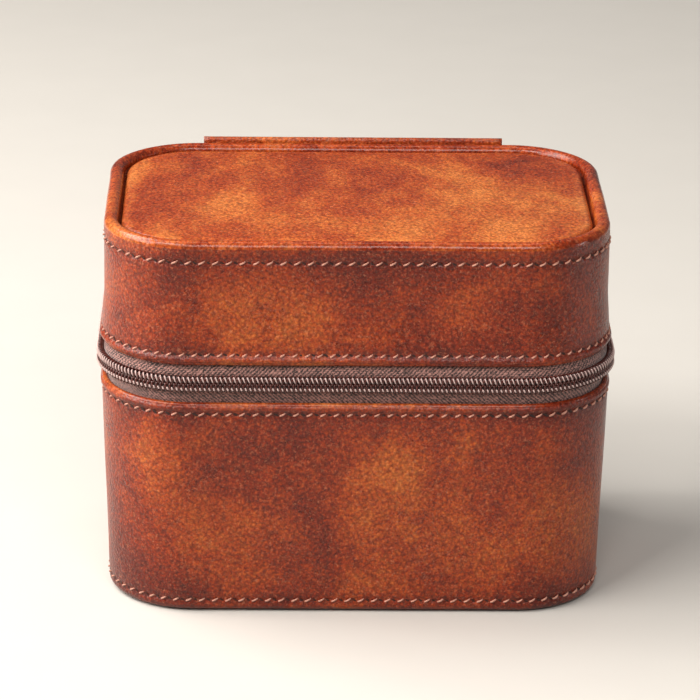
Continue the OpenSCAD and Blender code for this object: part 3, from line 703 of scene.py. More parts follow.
def pad(name, box, radii, base, height, shoulder, crown, finish, seed, ripple, down=False):
    """Crowned pad on a rounded outline: rings from a flat foot up a rounded shoulder and in to the middle."""
    x0, x1, y0, y1 = box
    middle = np.array([(x0 + x1) / 2, (y0 + y1) / 2])

    def ring(inset, z, part=1.0):
        loop = rounded_loop(box, radii, inset)
        return np.c_[middle + (loop - middle) * part, np.full(PAD_POINTS, base + z)]

    bends = np.radians(np.linspace(0, 90, 9))
    rings = [ring(0.4 * MM, 0), ring(0, 0)]
    rings += [ring(shoulder * (1 - math.cos(a)), height - shoulder * (1 - math.sin(a))) for a in bends]
    side = len(rings)
    rings += [ring(shoulder, height + crown * (1 - part**2.2), part) for part in np.linspace(0.965, 0.03, 26)]
    rows = len(rings)
    verts = np.concatenate(rings)
    rng = np.random.default_rng(seed)
    waves = 7
    wave = 0
    for _ in range(waves):
        k = rng.uniform(-140, 140, 2)
        wave = wave + np.sin(verts[:, 0] * k[0] + verts[:, 1] * k[1] + rng.uniform(0, TAU))
    verts[:, 2] += ripple * wave / waves * np.clip((verts[:, 2] - base) / height, 0, 1)
    faces = with_ends(grid_faces(rows, PAD_POINTS, False, True), rows, PAD_POINTS)
    if down:
        verts[:, 2] = 2 * base - verts[:, 2]
    else:
        faces = flipped(faces)
    marks = np.zeros((rows, PAD_POINTS))
    # On the top panel's leather: darker at the foot, painted shade in the groove round the panel, turning
    # polished and lighter up the shoulder as a painted highlight on the panel's edge
    marks[:side] = np.r_[0.9, 0.9, np.linspace(0.5, -0.5, len(bends))][:, None]
    return mesh_object(name, verts, faces, finish, marks=marks)


class WATCHCASE_OT_top_panel(bpy.types.Operator):
    """Makes the padded top panel that sits inside the rim"""

    bl_idname = "watch_case.top_panel"
    bl_label = "Top panel"

    def execute(self, context):
        low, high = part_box("panel_leather")
        slim = 0.25 * MM
        r = look().case.corner - look().case.rim - look().case.groove - slim
        box = (low[0] + slim, high[0] - slim, low[1] + slim, high[1] - slim)
        finish = material("panel_leather_finish", leather, 0.57, True, (1, 0.6, 1), 1.7)
        piece = pad("top_panel_pad", box, (r, r), low[2], 2.15 * MM, 1.7 * MM, 0.8 * MM, finish, 5, 0.10 * MM)
        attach(piece, "lid")
        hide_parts("panel_leather", "panel_foam")
        dress(["rim_filler"], material("soft_foam", foam_material))
        dress(["panel_stiffener"], material("grey_board", board_material))
        return {"FINISHED"}


# Stitching


def stitches(name, centre, along, outward, lift, pitch, slit_size=1.0):
    """Slanted stitches, with a dark disc between them as painted shade in the stitch hole.

    centre, along and outward are arrays of points and directions, and lift is the thread's stand-off.
    """
    stitch = look().stitch
    centre, along, outward = (np.asarray(a, float) for a in (centre, along, outward))
    up = np.cross(outward, along)
    rings, sides = 11, 8
    t = np.linspace(-1, 1, rings)
    half = 0.27 * pitch
    rise = -stitch.slant / 2
    arch = stitch.thread * (0.95 - 2.1 * np.abs(t) ** 2.6)
    radius = stitch.thread * np.sqrt(np.clip(1 - np.abs(t) ** 3.2, 0.08, 1)) * (1 + 0.07 * np.cos(t * 9))
    run, climb, stand = (part[None, :, None] for part in (half * t, -rise * t, lift + arch))
    spine = centre[:, None, :] + along[:, None, :] * run + up[:, None, :] * climb
    spine = spine + outward[:, None, :] * stand
    verts = tube_points(spine, outward[:, None, :], up[:, None, :], radius, sides, flat=0.85).reshape(-1, 3)
    finish = material("waxed_thread", thread_material)
    threads = mesh_object(name, verts, copies(rings, sides, len(centre)), finish)

    # Dark discs in the slits: painted shade in the stitch holes
    corners = 12
    at = centre + along * pitch / 2 + outward * (lift + 0.03 * MM)
    gap = np.array([pitch / 2 - half, rise])
    gap = gap / np.linalg.norm(gap)
    slit = along * gap[0] + up * gap[1]
    thin = np.cross(outward, slit)
    b = np.arange(corners) / corners * TAU
    long_way = (0.60 * slit_size * MM * np.cos(b))[None, :, None]
    short_way = (0.22 * slit_size * MM * np.sin(b))[None, :, None]
    rim = at[:, None, :] + slit[:, None, :] * long_way + thin[:, None, :] * short_way
    rim = rim - outward[:, None, :] * 0.12 * MM
    discs = np.concatenate([rim, (at + outward * 0.02 * MM)[:, None, :]], 1)
    k = np.arange(corners)
    fan = np.stack([k, (k + 1) % corners, np.full(corners, corners)], -1)
    faces = (fan[None] + (np.arange(len(discs)) * (corners + 1))[:, None, None]).reshape(-1, 3)
    hole_shades = mesh_object(name + "_hole_shades", discs.reshape(-1, 3), faces, material("stitch_hole_shade", hole_shade_material))
    return threads, hole_shades


def wall_row(name, height, pitch, out, skip_back, lift, slit_size):
    """One row of stitches round the case at a height, with none within skip_back of the back's middle."""
    plan = Plan()
    total = plan.legs(0)[-1]
    count, step = stitch_steps(pitch, total)
    s = (np.arange(count) + 0.5) * step
    if skip_back:
        s = s[(s > skip_back) & (s < total - skip_back)]
    p, n = plan.walk(s)
    centre = place(p, n, np.full(len(s), out), np.full(len(s), height))
    outward = np.c_[n, np.zeros(len(n))]
    along = np.c_[-n[:, 1], n[:, 0], np.zeros(len(n))]
    return stitches(name, centre, along, outward, lift, step, slit_size)


class WATCHCASE_OT_stitching(bpy.types.Operator):
    """Sews the four rows of stitches round the case"""

    bl_idname = "watch_case.stitching"
    bl_label = "Stitching"

    def execute(self, context):
        stitch = look().stitch
        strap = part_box("hinge_strap_fold")[1][0] - 1.5 * MM
        top, lid_edge = float(lid_out(stitch.top_row)), float(lid_out(stitch.lid_row)) + 0.05 * MM
        body_edge, foot = float(body_out(stitch.body_row)) + 0.02 * MM, float(body_out(stitch.foot_row))
        pitch, lid_pitch = stitch.pitch, stitch.lid_pitch
        rows = (
            ("stitches_top", "lid", stitch.top_row, pitch, top, strap, -0.13 * MM, 1.0),
            ("stitches_lid_edge", "lid", stitch.lid_row, lid_pitch, lid_edge, strap, -0.24 * MM, 1.5),
            ("stitches_body_edge", "case_body", stitch.body_row, pitch, body_edge, strap, -0.22 * MM, 1.5),
            ("stitches_foot", "case_body", stitch.foot_row, pitch, foot, 0.0, -0.13 * MM, 1.0),
        )
        for name, body, *row in rows:
            for piece in wall_row(name, *row):
                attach(piece, body)
        return {"FINISHED"}


# Zip


ZIP_MIDDLE = (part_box("zip_coil_lower")[1][2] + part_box("zip_coil_upper")[0][2]) / 2
COIL_OUT = -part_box("zip_coil_lower")[0][0]
UP = np.array([0, 0, 1.0])
TAPE_THICK = 0.46 * MM
TAPE_STEP = 1.0 * MM


def tape_strip(name, way, edge_z, start, stop, body, nodes):
    """A length of woven tape from its hem under the leather to its edge behind the coil.

    way is 1 for the lower tape. Its section is given in millimetres: how far out, and how high above the
    leather's edge or above the middle of the zip.
    """
    hem = [(-0.66, -way * 6.9), (-0.66, -way * 0.2), (-0.2, way * 1.0), (0.08, way * 1.9)]
    border = [(0.22, -way * 2.6), (0.24, -way * 2.2), (0.24, -way * 0.85)]
    xs = np.array([x for x, z in hem + border]) * MM
    zs = np.array([edge_z + z * MM for x, z in hem] + [ZIP_MIDDLE + z * MM for x, z in border])
    xs = np.concatenate([xs, xs[::-1] - TAPE_THICK])
    zs = np.concatenate([zs, zs[::-1]])
    run = np.r_[0, np.cumsum(np.hypot(np.diff(xs), np.diff(zs)))]
    count = int((stop - start) / TAPE_STEP)
    s = np.linspace(start, stop, count)
    p, n = Plan().walk(s)
    verts = place(p[:, None, :], n[:, None, :], xs, zs).reshape(-1, 3)
    uv = np.stack(np.broadcast_arrays(s[:, None], run[None, :]), -1).reshape(-1, 2)
    faces = with_ends(grid_faces(count, len(xs), False, True)[:, ::way], count, len(xs))
    piece = mesh_object(name, verts, faces, material("woven_tape", tape_material), uvs=uv)
    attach(piece, body)
    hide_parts(*nodes)


class WATCHCASE_OT_zip_tapes(bpy.types.Operator):
    """Weaves the two zip tapes"""

    bl_idname = "watch_case.zip_tapes"
    bl_label = "Zip tapes"

    def execute(self, context):
        total = Plan().legs(0)[-1]
        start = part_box("hinge_strap_fold")[1][0] - 2 * MM
        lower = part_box("body_leather")[1][2]
        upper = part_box("lid_leather")[0][2]
        tape_strip("zip_tape_lower_weave", 1, lower, start, total - start, "case_body", ["zip_tape_lower"])
        tape_strip("zip_tape_upper_weave", -1, upper, start, total - start, "lid",
                   ["zip_tape_upper", "zip_tape_upper_end_left", "zip_tape_upper_end_right"])
        return {"FINISHED"}


# A row's distance from the middle of the zip, its turns' half height and half depth, and their roundness
COIL_REACH, COIL_TALL, COIL_DEPTH = 0.93 * MM, 1.10 * MM, 0.74 * MM
COIL_POWER = 0.8
# The line on which the coils are laid out, outside the nominal wall, and where they end in its corners
COIL_LINE = 1.05 * MM
COIL_FIRST, COIL_LAST = math.radians(30.26), math.radians(90 - 51)
# The sewing over the upper (1) and lower (-1) turns: its first and last angle, its stand-off and its radius
SEWING = {1: (-8, 62, 0.27 * MM, 0.2 * MM), -1: (-7, 21, 0.22 * MM, 0.24 * MM)}


def squarish(a, power):
    """Cosines and sines of a closed curve that lies between a circle, at power 1, and a square."""
    c, s = np.cos(a), np.sin(a)
    return np.sign(c) * np.abs(c) ** power, np.sign(s) * np.abs(s) ** power


def walk_grid(plan, s):
    """Points and normals on the coils' line for a grid of lengths, with outward and forward directions."""
    p, n = plan.walk(s.ravel(), COIL_LINE)
    p, n = p.reshape(s.shape + (2,)), n.reshape(s.shape + (2,))
    level = np.zeros(s.shape)
    return p, n, np.stack([n[..., 0], n[..., 1], level], -1), np.stack([-n[..., 1], n[..., 0], level], -1)


def coil_turns(name, plan, side, s, middle):
    """Turns of filament at the lengths s, leaning a little where they face out."""
    pitch, wire = look().zip.pitch, look().zip.wire
    rings, sides = 14, 6
    a = np.arange(rings) / rings * TAU
    co, si = squarish(a, COIL_POWER)
    lean = 0.22 * pitch * np.sin(a) * np.where(np.cos(a) > 0, 1, 0.2)
    p, n, outward, tangent = walk_grid(plan, s[:, None] + lean)
    centre = place(p, n, middle + COIL_DEPTH * co, ZIP_MIDDLE + side * (COIL_REACH + COIL_TALL * si))
    heading = outward * (COIL_DEPTH * -np.sin(a))[:, None] + UP * (side * COIL_TALL * np.cos(a))[:, None]
    heading /= np.linalg.norm(heading, axis=-1, keepdims=True)
    radius = wire * (1 + 0.18 * (si < -0.6))
    verts = tube_points(centre, tangent, np.cross(heading, tangent), radius, sides).reshape(-1, 3)
    return mesh_object(name, verts, copies(rings, sides, len(s), True), material("nylon_coil", coil_material))


def coil_cord(name, plan, side, start, stop, middle):
    """The cord inside the turns."""
    s = np.linspace(start, stop, int((stop - start) / (1.2 * MM)))
    sides = 8
    a = np.arange(sides) / sides * TAU
    p, n = plan.walk(s, COIL_LINE)
    out = middle + 0.45 * MM * np.cos(a)
    verts = place(p[:, None, :], n[:, None, :], out, ZIP_MIDDLE + side * COIL_REACH + 0.62 * MM * np.sin(a))
    faces = grid_faces(len(s), sides, False, True)
    return mesh_object(name, verts.reshape(-1, 3), faces, material("woven_tape", tape_material))


def coil_sewing(name, plan, side, s, middle):
    """The thread that holds the turns to the tape: a bead over the row at each of the lengths s."""
    first, last, stand, thick = SEWING[side]
    rows, cols = 9, 7
    co, si = squarish(np.radians(np.linspace(first, last, rows)), COIL_POWER)
    out = middle + (COIL_DEPTH + stand) * co
    reach = COIL_REACH + (COIL_TALL + 0.22 * MM) * si
    slant = -side * 0.36 * (reach - reach.mean())
    p, n, outward, tangent = walk_grid(plan, s[:, None] + slant)
    spine = place(p, n, out, ZIP_MIDDLE + side * reach)
    lay = np.gradient(np.stack([out, side * reach], -1), axis=0)
    lay /= np.linalg.norm(lay, axis=1, keepdims=True)
    cross = outward * lay[:, 1:] - UP * lay[:, :1]
    radius = thick * np.sqrt(np.clip(1 - np.linspace(-1, 1, rows) ** 4, 0.05, 1))
    verts = tube_points(spine, tangent, cross, radius, cols).reshape(-1, 3)
    return mesh_object(name, verts, copies(rows, cols, len(s)), material("coil_sewing", sewing_material))


def coil(name, side, body, nodes):
    """One row of the zip: its turns, their cord and the sewing between. side is 1 for the upper row."""
    plan = Plan()
    legs = plan.legs(COIL_LINE)
    start = legs[1] + (plan.r + COIL_LINE) * COIL_FIRST
    stop = legs[8] - (plan.r + COIL_LINE) * COIL_LAST
    pitch = look().zip.pitch
    count = int((stop - start) / pitch) - 1
    s = start + (np.arange(count) + (0.5 if side > 0 else 1.0)) * pitch
    middle = COIL_OUT - plan.half_x - COIL_DEPTH - look().zip.wire
    turns = coil_turns(name, plan, side, s, middle)
    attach(turns, body)
    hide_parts(*nodes)
    cord = coil_cord(name + "_cord", plan, side, start, stop, middle)
    sewing = coil_sewing(name + "_sewing", plan, side, s[:-1] + pitch / 2, middle)
    for piece in (cord, sewing):
        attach(piece, body)


class WATCHCASE_OT_zip_coils(bpy.types.Operator):
    """Winds the two rows of coil turns, each round its cord and sewn to its tape"""

    bl_idname = "watch_case.zip_coils"
    bl_label = "Zip coils"

    def execute(self, context):
        coil("zip_coil_lower_turns", -1, "case_body", ["zip_coil_lower", "zip_coil_lower_end"])
        coil("zip_coil_upper_turns", 1, "lid", ["zip_coil_upper", "zip_coil_upper_end"])
        return {"FINISHED"}


class WATCHCASE_OT_zip_metal(bpy.types.Operator):
    """Finishes the slider, its bridge, link and tab, and the stops in antique brass"""

    bl_idname = "watch_case.zip_metal"
    bl_label = "Zip metal"

    def execute(self, context):
        slider = ["zip_slider", "slider_bridge", "pull_link", "pull_tab"]
        stops = ["zip_stop_lower", "zip_stop_upper", "zip_bottom_stop"]
        dress(slider + stops, material("antique_brass", metal_material))
        return {"FINISHED"}


# Hinge strap


def seam_points(path, pitch):
    """Evenly spaced points on a path of (x, z), the path's direction at each, and the step between them."""
    path = np.asarray(path, float)
    run = np.r_[0, np.cumsum(np.linalg.norm(np.diff(path, axis=0), axis=1))]
    count, step = stitch_steps(pitch, run[-1])
    want = (np.arange(count) + 0.5) * step
    near = 0.3 * MM
    behind, mid, ahead = (
        np.stack([np.interp(want + shift, run, path[:, k]) for k in (0, 1)], -1) for shift in (-near, 0, near)
    )
    way = ahead - behind
    return mid, way / np.linalg.norm(way, axis=1, keepdims=True), step


class WATCHCASE_OT_hinge_strap(bpy.types.Operator):
    """Makes the leather strap that hinges the lid, with the rows of stitches that hold it"""

    bl_idname = "watch_case.hinge_strap"
    bl_label = "Hinge strap"

    def execute(self, context):
        case, stitch = look().case, look().stitch
        plan = Plan()
        nodes = ("hinge_strap_body_flap", "hinge_strap_fold", "hinge_strap_lid_flap")
        body, fold, flap = (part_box(node) for node in nodes)
        half, bottom, top = fold[1][0], body[0][2], flap[1][2]
        thick = fold[1][1] - fold[0][1]
        lower, upper = fold[0][2], fold[1][2]
        corner, inset, ease, groove = 5 * MM, 2.6 * MM, 0.28 * MM, 0.6 * MM

        def back_of(z):
            above = np.where(z < upper, case.flare, lid_out(z))
            return plan.half_y + np.where(z < lower, body_out(np.minimum(z, lower - case.lip)), above)

        z = np.unique(np.concatenate([
            np.linspace(bottom, lower, 30), np.linspace(lower, upper, 26), np.linspace(upper, top, 34),
        ]))[:, None]
        rise = np.clip(corner - (z - bottom), 0, corner)
        width = half - (corner - np.sqrt(np.maximum(corner**2 - rise**2, 0)))
        x = np.linspace(-1, 1, 61) * width
        z = np.broadcast_to(z, x.shape)
        margin = width - np.abs(x)
        end = np.clip((np.minimum(z - bottom, top - z) + 1e-9) / ease, 0, 1)
        side = np.clip(margin / ease, 0, 1)
        rounding = ease * (1 - np.sqrt(1 - (1 - np.minimum(end, side)) ** 2))
        seam = np.exp(-(((margin - inset) / groove) ** 2)) * (z < top - inset)
        hem = np.exp(-(((z - bottom - inset) / groove) ** 2))
        outer = back_of(z) + thick - rounding - 0.22 * MM * np.maximum(seam, hem)
        back = np.stack([x, outer, z], -1)
        front = np.stack([x, back_of(z) + 0.05 * MM, z], -1)
        loop = np.concatenate([back, front[:, ::-1]], 1)
        rows, cols = loop.shape[:2]
        faces = flipped(with_ends(grid_faces(rows, cols, False, True), rows, cols))
        # Polished and lighter along the top and side edges, partly the raw cut edge and partly a painted
        # highlight; darker along the seam grooves
        edge = np.maximum(np.exp(-(top - z) / (0.5 * MM)), np.exp(-margin / (0.5 * MM)))
        marks = np.concatenate([-1.1 * edge + 0.4 * seam, np.zeros_like(x)], 1)
        finish = material("strap_leather", leather, 0.54)
        piece = mesh_object("hinge_strap_leather", loop.reshape(-1, 3), faces, finish, marks=marks)
        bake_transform(piece)
        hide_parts(*nodes)

        turn, clear = corner - inset, 3 * MM
        low_path = np.concatenate([
            [[-half + inset, lower - clear]],
            arc(-half + corner, bottom + corner, turn, 180, 270, 8),
            arc(half - corner, bottom + corner, turn, 270, 360, 8),
            [[half - inset, lower - clear]],
        ])
        left, right = ([[x, upper + clear], [x, top - clear]] for x in (-half + inset, half - inset))
        for name, path, body_name in (
            ("strap_stitches_body", low_path, "case_body"),
            ("strap_stitches_lid_left", left, "lid"),
            ("strap_stitches_lid_right", right, "lid"),
        ):
            mid, way, step = seam_points(path, stitch.pitch)
            centre = np.stack([mid[:, 0], back_of(mid[:, 1]) + thick - 0.22 * MM, mid[:, 1]], -1)
            along = np.stack([way[:, 0], np.zeros(len(way)), way[:, 1]], -1)
            outward = np.tile([0.0, 1.0, 0.0], (len(way), 1))
            for part in stitches(name, centre, along, outward, 0.02 * MM, step):
                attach(part, body_name)
        return {"FINISHED"}


# Inside


class WATCHCASE_OT_linings(bpy.types.Operator):
    """Lines the body, the collar, the divider and the lid with microfibre, over bare board"""

    bl_idname = "watch_case.linings"
    bl_label = "Linings"

    def execute(self, context):
        dress(["body_lining", "divider_cover", "lid_lining"], material("microfibre", suede_material))
        boards = ["body_board", "collar_board", "divider_board", "lid_board"]
        dress(boards, material("grey_board", board_material))
        return {"FINISHED"}


class WATCHCASE_OT_pads(bpy.types.Operator):
    """Makes the padded floor of each compartment and the pad in the lid"""

    bl_idname = "watch_case.pads"
    bl_label = "Pads"

    def execute(self, context):
        finish = material("microfibre", suede_material)
        tight = 2 * MM
        for node in ("floor_pad_left", "floor_pad_right", "lid_pad"):
            low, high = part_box(node)
            box = (low[0], high[0], low[1], high[1])
            wide = high[1] - Plan().y
            name = node + "_cover"
            if node == "lid_pad":
                sizes = (3.1 * MM, 2 * MM, 0.85 * MM)
                piece = pad(name, box, (wide, wide), high[2], *sizes, finish, 12, 0.08 * MM, down=True)
            else:
                radii = (wide, tight) if node == "floor_pad_left" else (tight, wide)
                piece = pad(name, box, radii, low[2], 2.1 * MM, 1 * MM, 0.42 * MM, finish, 11, 0.06 * MM)
            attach(piece, "lid" if node == "lid_pad" else "case_body")
            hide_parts(node)
        return {"FINISHED"}


# The rings of a pillow's end panel, as shares of the wrap's size
END_PARTS = (0.06, 0.25, 0.45, 0.65, 0.82, 0.93)


def pillow_shape(wide, deep, high, swollen):
    """Closed pillow: a rounded oval wrap along X, drawn in at its sewn ends, with swollen end panels."""
    n = 64
    c, d = squarish(np.arange(n) / n * TAU, 0.64)

    def ring(x, draw):
        return np.stack([np.full(n, x), deep / 2 * draw * c, high / 2 * draw * d], -1)

    def end(side, parts):
        return [ring(side * (wide / 2 + swollen * (1 - part**2.6)), 0.95 * part) for part in parts]

    wrap = [ring(t * wide, 1 - 0.05 * abs(2 * t) ** 3) for t in np.linspace(-0.5, 0.5, 33)]
    rings = end(-1, END_PARTS) + wrap + end(1, END_PARTS[::-1])
    faces = with_ends(grid_faces(len(rings), n, False, True)[:, ::-1], len(rings), n)
    return np.concatenate(rings), faces


def coordinates(mesh):
    points = np.zeros(len(mesh.vertices) * 3)
    mesh.vertices.foreach_get("co", points)
    return points


def evaluated_mesh(piece):
    """The piece's mesh with its modifiers applied, which are taken off the piece."""
    graph = bpy.context.evaluated_depsgraph_get()
    mesh = bpy.data.meshes.new_from_object(piece.evaluated_get(graph))
    piece.modifiers.clear()
    return mesh


# The cloth is simulated at ten times its size, over this many frames
CLOTH_SCALE = 10.0
CLOTH_FRAMES = 20


def puff(piece, voxel, cap):
    """Inflates a closed mesh as cloth, caps how far each point moves, and smooths the result."""
    start = piece.data
    start.vertices.foreach_set("co", coordinates(start) * CLOTH_SCALE)
    remesh = piece.modifiers.new("Remesh", "REMESH")
    remesh.mode = "VOXEL"
    remesh.voxel_size = voxel * CLOTH_SCALE
    remesh.use_smooth_shade = True
    mesh = evaluated_mesh(piece)
    piece.data = mesh
    mesh.materials.clear()
    mesh.materials.append(start.materials[0])
    before = coordinates(mesh)
    cloth = piece.modifiers.new("Cloth", "CLOTH")
    settings = {
        "use_pressure": True, "uniform_pressure_force": 4, "quality": 5,
        "tension_stiffness": 15, "compression_stiffness": 5, "bending_stiffness": 0.6,
    }
    for name, value in settings.items():
        setattr(cloth.settings, name, value)
    cloth.settings.effector_weights.gravity = 0
    cloth.point_cache.frame_start = 1
    cloth.point_cache.frame_end = CLOTH_FRAMES
    scene = bpy.context.scene
    for step in range(CLOTH_FRAMES):
        scene.frame_set(step + 1)
    graph = bpy.context.evaluated_depsgraph_get()
    after = coordinates(piece.evaluated_get(graph).to_mesh())
    piece.evaluated_get(graph).to_mesh_clear()
    piece.modifiers.clear()
    scene.frame_set(1)
    move = (after - before).reshape(-1, 3)
    size = np.linalg.norm(move, axis=1, keepdims=True)
    move *= np.minimum(1, cap * CLOTH_SCALE / np.maximum(size, 1e-9))
    mesh.vertices.foreach_set("co", (before + move.ravel()) / CLOTH_SCALE)
    mesh.update()
    smooth = piece.modifiers.new("Subdivision", "SUBSURF")
    smooth.levels = 1
    smooth.render_levels = 1
    piece.data = evaluated_mesh(piece)
    piece.data.shade_smooth()


def piped_seam(cushion, seam, low, high):
    """Points of a ring of piping round a cushion at x = seam, kept between low and high, and their faces."""
    n, sides, bead = 120, 10, 0.75 * MM
    a = np.arange(n) / n * TAU
    around = np.arctan2(cushion[:, 2], cushion[:, 1])
    reach = np.hypot(cushion[:, 1], cushion[:, 2])
    turn = np.angle(np.exp(1j * (around[:, None] - a[None, :])))
    near = np.exp(-((turn / 0.06) ** 2) - ((cushion[:, :1] - seam) / (0.9 * MM)) ** 2)
    near *= reach[:, None] > 0.6 * high[1]
    radius = (near * reach[:, None]).sum(0) / near.sum(0) - 0.1 * MM
    radial = np.stack([0 * a, np.cos(a), np.sin(a)], -1)
    tube = tube_points(radial * radius[:, None] + [seam, 0, 0], radial, np.array([1.0, 0, 0]), bead, sides)
    tube[..., 1:] = np.clip(tube[..., 1:], low, high)
    return tube, grid_faces(n, sides, True, True)


class WATCHCASE_OT_pillows(bpy.types.Operator):
    """Makes the two watch pillows, puffed as cloth, with a piped seam round each end"""

    bl_idname = "watch_case.pillows"
    bl_label = "Watch pillows"

    def execute(self, context):
        finish = material("pillow_suede", suede_material)
        low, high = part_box("pillow_left_wrap")
        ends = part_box("pillow_left_ends")
        wide, deep, tall = (high[k] - low[k] for k in range(3))
        limit = (ends[1][0] - ends[0][0]) / 2
        cap = look().inside.puff
        slack = 0.6 * cap
        verts, faces = pillow_shape(wide - slack, deep - 2 * slack, tall - 2 * slack, limit - wide / 2)
        first = mesh_object("pillow_left_cushion", verts, faces, finish)
        puff(first, 2.6 * MM, cap)
        cushion = coordinates(first.data).reshape(-1, 3)
        foot = -tall / 2 + 0.05 * MM
        cushion[:, 2] = np.maximum(cushion[:, 2], foot)
        cushion[:, 0] = np.clip(cushion[:, 0], -limit, limit)
        for side, name in ((-1, "left"), (1, "right")):
            pillow = "pillow_" + name
            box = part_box(pillow + "_wrap")
            centre = np.array((box[0] + box[1]) / 2)
            piece = first
            if side > 0:
                piece = bpy.data.objects.new("pillow_right_cushion", first.data.copy())
                bpy.context.scene.collection.objects.link(piece)
            piece.data.vertices.foreach_set("co", (cushion + centre).ravel())
            piece.data.update()
            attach(piece, pillow)
            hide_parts(pillow + "_core", pillow + "_wrap", pillow + "_ends")
            for end in (-1, 1):
                seam = end * (wide / 2 - 1.9 * MM)
                tube, faces = piped_seam(cushion, seam, (-deep / 2, foot), (deep / 2, tall / 2))
                piping_name = pillow + ("_piping_inner" if end * side < 0 else "_piping_outer")
                piping = mesh_object(piping_name, (tube + centre).reshape(-1, 3), faces, finish)
                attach(piping, pillow)
        return {"FINISHED"}


# Stage

# Each light's place, the height it aims at over the middle of the case, its size, power and colour
LAMPS = {
    "window": ((-0.80, -0.20, 0.55), 0.06, (0.75, 0.65), 12.0, (1.0, 0.95, 0.90)),
    "key": ((-0.45, -0.55, 0.95), 0.07, (0.3, 0.3), 4.5, (1.0, 0.97, 0.93)),
    "sky": ((-0.60, 0.22, 0.80), 0.08, (0.5, 0.5), 6.5, (1.0, 0.96, 0.91)),
    "top": ((-0.05, 0.20, 1.05), 0.08, (0.7, 0.2), 1.2, (1.0, 0.98, 0.95)),
    "front": ((0.10, -0.95, 0.90), 0.08, (0.7, 0.4), 6.6, (1.0, 0.98, 0.95)),
    "right": ((0.65, -0.12, 0.12), 0.03, (0.06, 0.25), 0.45, (1.0, 1.0, 1.0)),
}


FLOOR_HALF = 6
WORLD_SHADE, WORLD_STRENGTH = (0.90, 0.88, 0.86, 1), 0.2


def lamp(name, spot, aim, size, power, shade):
    light = bpy.data.lights.new(name, "AREA")
    light.shape = "RECTANGLE"
    light.size, light.size_y = size
    light.energy = power
    light.color = shade
    obj = bpy.data.objects.new(name, light)
    obj.location = spot
    obj.rotation_euler = (Vector((0, 0, aim)) - Vector(spot)).to_track_quat("-Z", "Y").to_euler()
    bpy.context.scene.collection.objects.link(obj)


def floor_material(name):
    stage = look().stage
    g = Graph(name)
    shade = g.worn(g.noise(g.object_place(), 40, 2, 0.5), 0.3, 0.7, stage.floor, 0.985)
    path = g.add("LightPath").outputs
    mirrored = g.math("MAXIMUM", path["Is Glossy Ray"], path["Is Transmission Ray"])
    seen = g.math("MAXIMUM", path["Is Camera Ray"], mirrored)
    shade = g.mix(seen, tuple(c * 0.5 for c in stage.floor), shade)
    return g.finish(Base_Color=shade, Roughness=0.75, Specular_IOR_Level=0.1)


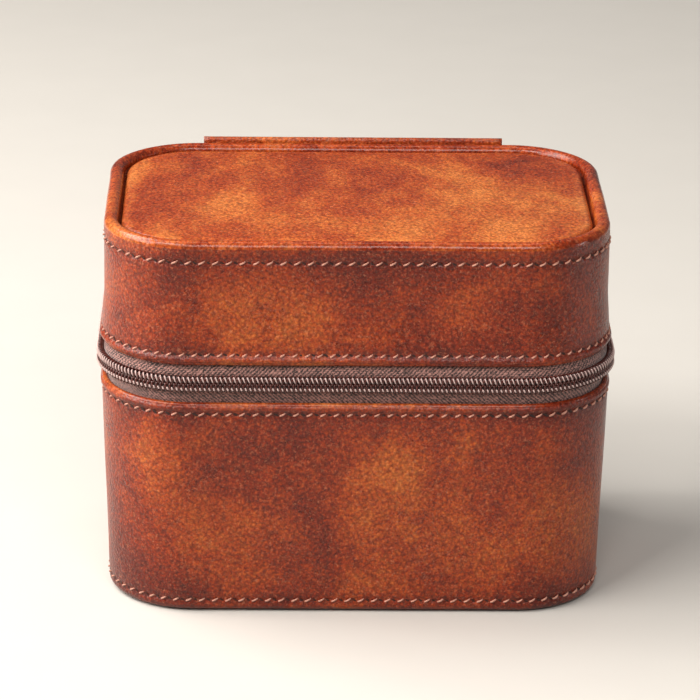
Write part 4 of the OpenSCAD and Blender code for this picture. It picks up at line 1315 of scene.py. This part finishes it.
class WATCHCASE_OT_stage(bpy.types.Operator):
    """Sets the plain floor, the soft lights, the world and the camera"""

    bl_idname = "watch_case.stage"
    bl_label = "Stage"

    def execute(self, context):
        stage = look().stage
        corners = [(-1, -1), (1, -1), (1, 1), (-1, 1)]
        verts = [(x * FLOOR_HALF, y * FLOOR_HALF, 0) for x, y in corners]
        floor = mesh_object("plain_floor", verts, [(0, 1, 2, 3)], material("plain_floor", floor_material))
        floor.location.z = -0.05 * MM
        world = bpy.data.worlds.new("soft_room")
        world.use_nodes = True
        sky = world.node_tree.nodes["Background"]
        sky.inputs["Color"].default_value = WORLD_SHADE
        sky.inputs["Strength"].default_value = WORLD_STRENGTH
        context.scene.world = world
        for name, values in LAMPS.items():
            lamp(name, *values)
        camera = bpy.data.cameras.new("camera")
        camera.sensor_width = 36
        camera.lens = stage.lens
        camera.clip_start = 0.05
        camera.clip_end = 30
        eye = bpy.data.objects.new("camera", camera)
        down, level = math.sin(stage.pitch), math.cos(stage.pitch)
        ahead, up, right = Vector((0, level, -down)), Vector((0, down, level)), Vector((1, 0, 0))
        tilt, upright = math.sin(stage.roll), math.cos(stage.roll)
        across, above = right * upright + up * tilt, up * upright - right * tilt
        spot = -ahead * stage.distance - across * stage.left + above * stage.above
        turn = Matrix.Rotation(-stage.yaw, 3, "Z")
        axes = Matrix((turn @ across, turn @ above, turn @ -ahead)).transposed()
        middle = Vector((0, 0, stage.middle))
        eye.matrix_world = Matrix.Translation(middle + turn @ spot) @ axes.to_4x4()
        context.scene.collection.objects.link(eye)
        context.scene.camera = eye
        context.scene.view_settings.view_transform = "Standard"
        return {"FINISHED"}


STEPS = (
    WATCHCASE_OT_body_leather,
    WATCHCASE_OT_lid_leather,
    WATCHCASE_OT_top_panel,
    WATCHCASE_OT_stitching,
    WATCHCASE_OT_zip_tapes,
    WATCHCASE_OT_zip_coils,
    WATCHCASE_OT_zip_metal,
    WATCHCASE_OT_hinge_strap,
    WATCHCASE_OT_linings,
    WATCHCASE_OT_pads,
    WATCHCASE_OT_pillows,
    WATCHCASE_OT_stage,
)


class WATCHCASE_PT_panel(bpy.types.Panel):
    """Sizes, finishes and steps of the watch travel case"""

    bl_label = "Watch travel case"
    bl_idname = "WATCHCASE_PT_panel"
    bl_space_type = "VIEW_3D"
    bl_region_type = "UI"
    bl_category = "Watch case"

    def draw(self, context):
        for group in ("case", "stitch", "leather", "zip", "inside", "stage"):
            box = self.layout.box()
            box.label(text=group.capitalize())
            values = getattr(look(), group)
            for name in values.bl_rna.properties.keys():
                if name not in ("rna_type", "name"):
                    box.prop(values, name)
        for step in STEPS:
            self.layout.operator(step.bl_idname)


GROUPS = (CaseSizes, StitchSizes, LeatherLook, ZipLook, InsideLook, StageLook, CaseLook)


def register():
    for cls in GROUPS + STEPS + (WATCHCASE_PT_panel,):
        bpy.utils.register_class(cls)
    bpy.types.Scene.watch_case = PointerProperty(type=CaseLook)


def unregister():
    del bpy.types.Scene.watch_case
    for cls in reversed(GROUPS + STEPS + (WATCHCASE_PT_panel,)):
        bpy.utils.unregister_class(cls)


def main():
    register()
    for step in STEPS:
        group, name = step.bl_idname.split(".")
        getattr(getattr(bpy.ops, group), name)()


if __name__ == "__main__":
    main()
